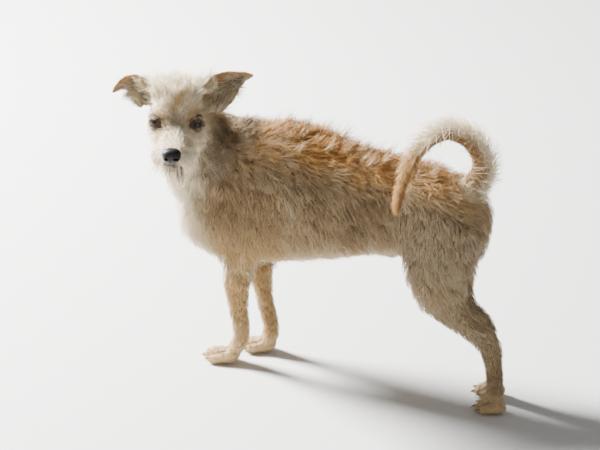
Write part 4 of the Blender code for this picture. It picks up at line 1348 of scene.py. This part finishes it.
def build_hackles(tufts=150, each=13):
    """Pointed tufts that stand along the back from the withers to the loin."""
    rng, hairs = np.random.default_rng(64), (tufts * each, 3)
    y = -0.215 + 0.30 * (np.arange(tufts) + rng.uniform(-0.4, 0.4, tufts)) / tufts
    x = rng.normal(0, 0.013, tufts)
    middle = np.stack([x, y, back_line(y) - 0.013 - 9 * x ** 2], 1) + np.array(SHIFT)
    way = unit(draws(rng, tufts, x * 14, (0.35, 1.0), (0.75, 1.1)))
    reach = settings().coat.crest * rng.uniform(0.67, 1.0, tufts)
    reach *= np.interp(y, (-0.215, -0.17, 0.0, 0.085), (0.7, 1, 1, 0.7))
    roots = np.repeat(middle, each, 0) + rng.normal(0, 0.0042, hairs) * np.array((1, 1, 0.2))
    tips = np.repeat(middle + way * reach[:, None], each, 0) + rng.normal(0, 0.0016, hairs)
    ways = tips - roots
    lengths = np.linalg.norm(ways, axis=1) * rng.uniform(0.75, 1.08, tufts * each)
    shade = np.repeat(np.clip(rng.normal(0.55, 0.36, tufts), 0, 1), each)
    lay_hair("hackles", 65, roots, ways, lengths, 0.0011, {"warm": 0.55, "rust": shade},
             droop=0.0)


def build_whiskers(count=420):
    """Dark-tipped beard strands under the chin and the longer hairs of the muzzle."""
    rng, beard = np.random.default_rng(91), settings().coat.beard
    roots = draws(rng, count, (-0.016, 0.016), (-0.056, -0.010), (-0.048, -0.040))
    ways = draws(rng, count, roots[:, 0] * 22, (-0.45, 0.05), -1.0)
    lengths = beard * rng.uniform(0.43, 1.0, count)
    wisp = np.arange(count) % 14 == 0
    spots = np.array(((0.006, -0.050), (0.012, -0.046), (0.015, -0.040)))
    chosen = spots[rng.integers(0, 3, wisp.sum())]
    roots[wisp, :2] = chosen + rng.normal(0, 0.0007, (wisp.sum(), 2))
    ways[wisp] = (0.15, -0.35, -1.0)
    lengths[wisp] = beard * rng.uniform(1.0, 1.25, wisp.sum())
    masks = {"warm": 0.3, "tipped": np.where(rng.random(count) < 0.5, 1.0, 0.0),
             "dark": np.where(wisp | (rng.random(count) < 0.2), 0.9, 0.0)}
    lay_head_hair("beard_strands", 92, roots, ways, lengths, 0.0007, masks)


def build_moustache(count=620):
    """Ragged longer locks that hang over the lips on both sides of the muzzle."""
    rng = np.random.default_rng(95)
    sign = either_side(rng, count)
    y = rng.uniform(-0.060, 0.002, count)
    out = np.interp(y, (-0.068, -0.05, 0.0), (0.009, 0.017, 0.024))
    roots = draws(rng, count, sign * out, y, (-0.034, -0.020))
    ways = draws(rng, count, (0.25, 0.85), (-0.45, 0.25), (-1.15, -0.65))
    ways[:, 0] *= sign
    lengths = settings().coat.moustache * rng.uniform(0.43, 1.0, count)
    masks = {"warm": rng.random(count) * 0.25, "grey": rng.random(count) * 0.15}
    lay_head_hair("moustache", 96, roots, ways, lengths, 0.0008, masks, droop=0.3)


def collar_material():
    """Dark woven webbing."""
    material, tree, shader = new_material("collar_webbing", Roughness=0.7)
    place = node(tree, "ShaderNodeUVMap", uv_map="OFBake").outputs[0]
    waves = [node(tree, "ShaderNodeTexWave", {"Vector": place, "Scale": scale}, wave_type="BANDS",
                  bands_direction=way).outputs["Fac"] for way, scale in (("X", 90), ("Y", 60))]
    weave = sums(tree, "MULTIPLY", *waves)
    relief(tree, shader, weave, 0.6, 0.0004)
    shade = blend_colour(tree, *shades(settings().palette.webbing, 0.25, 1), weave)
    feed(tree, shader, {"Base Color": shade})
    return material


def build_collar(count=160, far=0.15):
    """The webbing band, with rounded stitched edges, and the steel of its ring."""
    middle, side, depth, up = collar_axes()
    local = node_arrays("collar")[0] - middle
    half_side, half_depth = np.abs(local @ side).max(), np.abs(local @ depth).max()
    width, thick = np.ptp(local @ up), settings().fittings.webbing
    toward_ring = node_arrays("collar_ring")[0].mean(0) - middle
    toward_ring /= np.linalg.norm(toward_ring)
    angle = turns(count)[:, None]
    spokes = side * np.cos(angle) * half_side + depth * np.sin(angle) * half_depth
    reach, out = np.linalg.norm(spokes, axis=1), unit(spokes)
    hits = [[grown("tree").ray_cast(Vector(middle + way * far + up * h * width), Vector(-way))[3]
             for h in (-0.5, 0, 0.5)] for way in out]
    radii = np.minimum(far - np.min(hits, axis=1) + thick, reach)
    radii = np.max([np.roll(radii, k) for k in range(-3, 4)], axis=0)
    radii = np.mean([np.roll(radii, k) for k in range(-7, 8)], axis=0)
    radii += (reach - COLLAR_GAP - radii) * ramp(out @ toward_ring, 0.90, 0.985)
    h = np.linspace(-1, 1, 13)
    x = 0.5 * thick * (1 - np.abs(h) ** 6) - 0.12 * thick * (np.abs(np.abs(h) - 0.8) < 0.05)
    x, h = np.concatenate([x, -x[::-1]]), np.concatenate([h, h[::-1]])
    points = (middle + out[:, None] * (radii[:, None] - thick / 2 + x)[:, :, None]
              + up * (h * width / 2 * 0.98)[:, None])
    k, j = np.divmod(np.arange(count * len(x)), len(x))
    u, v = k[:, None] + np.array((0, 1, 1, 0, 1, 0)), j[:, None] + np.array((0, 0, 1, 0, 1, 1))
    faces = (u % count * len(x) + v % len(x)).reshape(-1, 3)
    mesh = mesh_from("collar_band", points.reshape(-1, 3), faces)
    layer = mesh.uv_layers.new(name="OFBake")
    uv = np.stack([u / count, v / len(x)], 2)
    layer.data.foreach_set("uv", uv.astype(np.float32).ravel())
    obj = placed("collar_band", mesh)
    mesh.materials.append(collar_material())
    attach(obj, "root")
    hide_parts("collar")
    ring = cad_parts["collar_ring"].data
    ring.materials.clear()
    ring.materials.append(mottled("ring_steel", settings().palette.steel, 260, (0.24, 0.42),
                                  metallic=1.0))


def build_claws(count=10):
    """Four short curved claws on each paw, flattened at the sides."""
    size = settings().fittings.claw
    t = np.linspace(0, len(CLAW) - 1, 10)
    line = np.stack([np.interp(t, range(len(CLAW)), column) for column in zip(*CLAW)], 1)
    y, z, radius = (line * np.array((size, 0.95, size))).T[:, :, None]
    angle = turns(count)
    claws = []
    for name in PAWS:
        for toe, half in toe_frames(name):
            back = half.y * 0.80
            rings = np.broadcast_arrays(radius * 0.85 * np.cos(angle), y - back,
                                        z + radius * np.sin(angle))
            ends = ((0, line[0, 0] * size - back, line[0, 1]),
                    (0, line[-1, 0] * size - back - 0.0006, line[-1, 1] - 0.0003))
            shape = np.concatenate([np.stack(rings, 2).reshape(-1, 3), ends])
            claws.append((affine(toe, shape), capped(len(line), count)))
    shape, faces = joined(claws)
    shape[:, 2] = np.maximum(shape[:, 2], FLOOR_GAP)
    mesh = mesh_from("claws", shape, faces)
    obj = placed("claws", mesh)
    unwrap(obj)
    mesh.materials.append(mottled("claw_horn", settings().palette.horn, 420, (0.30, 0.50)))
    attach(obj, "root")


def ball(turned, rings=40, count=56):
    """A sphere of unit radius with its pole turned by a matrix, and each point's angle from it."""
    angle, way = math.pi * np.arange(1, rings)[:, None] / rings, turns(count)[None]
    points = np.broadcast_arrays(np.sin(angle) * np.cos(way), np.sin(angle) * np.sin(way),
                                 np.cos(angle))
    points = np.concatenate([np.stack(points, 2).reshape(-1, 3), ((0, 0, 1), (0, 0, -1))])
    angle = np.arccos(np.clip(points[:, 2], -1, 1))
    return points @ np.array(turned)[:3, :3].T, capped(rings - 1, count)[:, ::-1], angle


def eye_material():
    """A dark brown iris round a black pupil, under a wet glaze."""
    iris = tuple(settings().palette.iris)
    material, tree, shader = new_material("eye", Roughness=0.35, Specular_IOR_Level=0.1,
                                          Coat_Weight=0.30, Coat_Roughness=0.03)
    gaze = node(tree, "ShaderNodeAttribute", attribute_name="gaze").outputs["Fac"]
    rings = node(tree, "ShaderNodeValToRGB", {0: gaze})
    first, last = rings.color_ramp.elements
    first.color, last.color = (0.003, 0.003, 0.003, 1), (0.09, 0.06, 0.05, 1)
    for place, colour in ((0.30, (0.003, 0.003, 0.003)), (0.38, (0.016, 0.007, 0.004)),
                          (0.60, iris), (0.74, (0.008, 0.005, 0.004)),
                          (0.82, (0.050, 0.034, 0.028))):
        rings.color_ramp.elements.new(place).color = (*colour, 1)
    feed(tree, shader, {"Base Color": rings.outputs[0]})
    return material


def build_eyes():
    """Two eyeballs, each with its cornea and with its gaze for the iris."""
    shine = eye_material()
    for side in SIDES:
        centre, out, _, look = eye_axes(side)
        points, faces, angle = ball(np.stack([out, np.cross(look, out), look], 1))
        cornea = 1 + 0.05 * ramp(angle, 0.80, 0.35)
        local = centre + points * (settings().eyes.radius - EYE_GAP) * cornea[:, None]
        mesh = mesh_from("eyeball_" + side, affine(HEAD, local), faces)
        numbers(mesh, "gaze", np.clip(angle / 1.1, 0, 1))
        obj = placed("eyeball_" + side, mesh)
        unwrap(obj)
        mesh.materials.append(shine)
        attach(obj, "root")
        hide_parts("eye_" + side)


def nose_material():
    """Black pebbled leather under a thin wet coat."""
    leather = settings().palette.leather
    material, tree, shader = new_material("nose_leather", Roughness=0.50, Specular_IOR_Level=0.25,
                                          Coat_Weight=0.06, Coat_Roughness=0.25)
    place = node(tree, "ShaderNodeTexCoord").outputs["Object"]
    cells = node(tree, "ShaderNodeTexVoronoi", {"Vector": place, "Scale": 1300},
                 feature="SMOOTH_F1").outputs["Distance"]
    relief(tree, shader, cells, 0.5, 0.0004, invert=True)
    feed(tree, shader, {"Base Color": blend_colour(tree, *shades(leather, 0.25, 1.3), cells)})
    return material


def build_nose():
    """The nose leather: a rounded block with its groove, nostrils and wings."""
    points, faces, _ = ball(Matrix.Rotation(math.radians(90), 4, "X"), 72, 96)
    x, y, z = points.T
    square = (np.abs(points) ** 2.6).sum(1) ** (-1 / 2.6)
    shape = points * (1 + (square - 1) * 0.6)[:, None]
    shape[:, 0] *= 1 + 0.10 * ramp(z, -0.4, 0.5) - 0.16 * ramp(z, -0.3, -0.9)
    local = shape * np.array(NOSE_HALF) * np.array((0.89, 0.98, 0.97))
    front = ramp(y, 0.15, -0.3)
    local[:, 1] += 0.0011 * np.exp(-(x / 0.055) ** 2) * ramp(z, 0.35, -0.2) * front
    for sign in (-1, 1):
        u, v = x * sign - 0.44, z + 0.10
        along, across = u * 0.86 - v * 0.5, u * 0.5 + v * 0.86
        pit = np.exp(-((along / 0.17) ** 2 + (across / 0.13) ** 2) ** 1.3) * front
        below = v + 0.04 + 0.30 * (u - 0.3)
        slit = np.exp(-(((u - 0.30) / 0.24) ** 2 + (below / 0.065) ** 2)) * front
        wing = np.exp(-(((u - 0.02) / 0.34) ** 2 + ((v - 0.02) / 0.32) ** 2)) * front
        local[:, 1] += 0.0046 * np.clip(pit + 0.62 * slit, 0, 1.1) - 0.0010 * wing
        local[:, 0] += sign * 0.0007 * wing
    local += np.array(NOSE_CENTRE) + np.array((0, 0.0004, 0))
    mesh = mesh_from("nose_pad", affine(HEAD, local), faces)
    obj = placed("nose_pad", mesh)
    unwrap(obj)
    mesh.materials.append(nose_material())
    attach(obj, "root")
    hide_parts("nose")


def build_floor(look):
    bm = bmesh.new()
    bmesh.ops.create_grid(bm, x_segments=1, y_segments=1, size=look.floor)
    mesh = bpy.data.meshes.new("floor")
    bm.to_mesh(mesh)
    bm.free()
    floor = placed("floor", mesh)
    mesh.materials.append(new_material("floor", Base_Color=(*look.floor_colour, 1),
                                       Roughness=0.85)[0])


def aimed(way):
    return way.to_track_quat("-Z", "Y").to_euler()


def build_lights(look):
    scene = bpy.context.scene
    scene.world = bpy.data.worlds.new("studio")
    scene.world.use_nodes = True
    sky = scene.world.node_tree.nodes["Background"]
    sky.inputs[0].default_value = (*look.sky_colour, 1)
    sky.inputs[1].default_value = look.sky
    for name, place, size, power in (("key", (-0.50, -2.9, 2.25), 1.1, look.key),
                                     ("fill", (3.0, 2.0, 2.2), 2.5, look.fill)):
        light = bpy.data.lights.new(name, "AREA")
        light.shape, light.size, light.energy = "DISK", size, power
        obj = bpy.data.objects.new(name, light)
        scene.collection.objects.link(obj)
        obj.location = place
        obj.rotation_euler = aimed(Vector((0, 0, 0.2)) - Vector(place))


def build_camera(look):
    target = Vector((-0.057, -0.13, 0.19)) + Vector((SHIFT.x, SHIFT.y, 0))
    back = Vector((math.sin(look.azimuth) * math.cos(look.height),
                   -math.cos(look.azimuth) * math.cos(look.height), math.sin(look.height)))
    camera = bpy.data.cameras.new("camera")
    camera.lens, camera.sensor_width = look.lens, 36
    view = bpy.data.objects.new("camera", camera)
    bpy.context.scene.collection.objects.link(view)
    view.location = target + back * look.distance
    view.rotation_euler = aimed(-back)
    bpy.context.scene.camera = view


# ------------------------------------------------------------------ operators and panel

class TERRIER_OT_skin(Operator):
    """Grow one closed skin inside the solids of flesh, with its folds and lids"""
    bl_idname = "terrier.skin"
    bl_label = "Skin"

    def execute(self, context):
        build_skin()
        return {"FINISHED"}


class TERRIER_OT_coat(Operator):
    """Lay the tapered locks of the body, the legs, the tail, the ears and the head"""
    bl_idname = "terrier.coat"
    bl_label = "Coat"

    def execute(self, context):
        build_coat()
        return {"FINISHED"}


class TERRIER_OT_crest(Operator):
    """Stand the pointed tufts along the back"""
    bl_idname = "terrier.crest"
    bl_label = "Crest of the back"

    def execute(self, context):
        build_hackles()
        return {"FINISHED"}


class TERRIER_OT_long_hair(Operator):
    """Add the long hairs of the ears, the beard and the moustache"""
    bl_idname = "terrier.long_hair"
    bl_label = "Long hair of the head"

    def execute(self, context):
        build_ear_hair()
        build_crown()
        build_brows()
        build_whiskers()
        build_moustache()
        return {"FINISHED"}


class TERRIER_OT_eyes(Operator):
    """Set the two glossy eyeballs between the lids"""
    bl_idname = "terrier.eyes"
    bl_label = "Eyes"

    def execute(self, context):
        build_eyes()
        return {"FINISHED"}


class TERRIER_OT_nose(Operator):
    """Shape the nose leather with its nostrils and groove"""
    bl_idname = "terrier.nose"
    bl_label = "Nose"

    def execute(self, context):
        build_nose()
        return {"FINISHED"}


class TERRIER_OT_claws(Operator):
    """Set four claws in each paw"""
    bl_idname = "terrier.claws"
    bl_label = "Claws"

    def execute(self, context):
        build_claws()
        return {"FINISHED"}


class TERRIER_OT_collar(Operator):
    """Lay the webbing collar on the skin of the neck and finish its steel ring"""
    bl_idname = "terrier.collar"
    bl_label = "Collar"

    def execute(self, context):
        build_collar()
        return {"FINISHED"}


class TERRIER_OT_stage(Operator):
    """Set up the floor, the lights and the camera"""
    bl_idname = "terrier.stage"
    bl_label = "Stage"

    def execute(self, context):
        look = settings().stage
        build_floor(look)
        build_lights(look)
        build_camera(look)
        return {"FINISHED"}


OPERATORS = (TERRIER_OT_skin, TERRIER_OT_coat, TERRIER_OT_crest, TERRIER_OT_long_hair,
             TERRIER_OT_eyes, TERRIER_OT_nose, TERRIER_OT_claws, TERRIER_OT_collar,
             TERRIER_OT_stage)


class TERRIER_PT_pieces(Panel):
    """The terrier's settings and the pieces they build"""
    bl_idname = "TERRIER_PT_pieces"
    bl_label = "Wire-coated terrier"
    bl_space_type = "VIEW_3D"
    bl_region_type = "UI"
    bl_category = "Terrier"

    def draw(self, context):
        layout = self.layout
        for group in ("palette", "coat", "eyes", "fittings", "stage"):
            chosen = getattr(context.scene.terrier, group)
            box = layout.box()
            box.label(text=group.capitalize())
            for name in chosen.__annotations__:
                box.prop(chosen, name)
        column = layout.column(align=True)
        for operator in OPERATORS:
            column.operator(operator.bl_idname)


CLASSES = (TerrierPalette, TerrierCoat, TerrierEyes, TerrierFittings, TerrierStage,
           TerrierSettings, *OPERATORS, TERRIER_PT_pieces)


def register():
    for kind in CLASSES:
        bpy.utils.register_class(kind)
    bpy.types.Scene.terrier = PointerProperty(type=TerrierSettings)


def unregister():
    del bpy.types.Scene.terrier
    for kind in reversed(CLASSES):
        bpy.utils.unregister_class(kind)


def main():
    """Builds every piece in order."""
    register()
    bpy.ops.terrier.skin()
    bpy.ops.terrier.coat()
    bpy.ops.terrier.crest()
    bpy.ops.terrier.long_hair()
    bpy.ops.terrier.eyes()
    bpy.ops.terrier.nose()
    bpy.ops.terrier.claws()
    bpy.ops.terrier.collar()
    bpy.ops.terrier.stage()


if __name__ == "__main__":
    main()
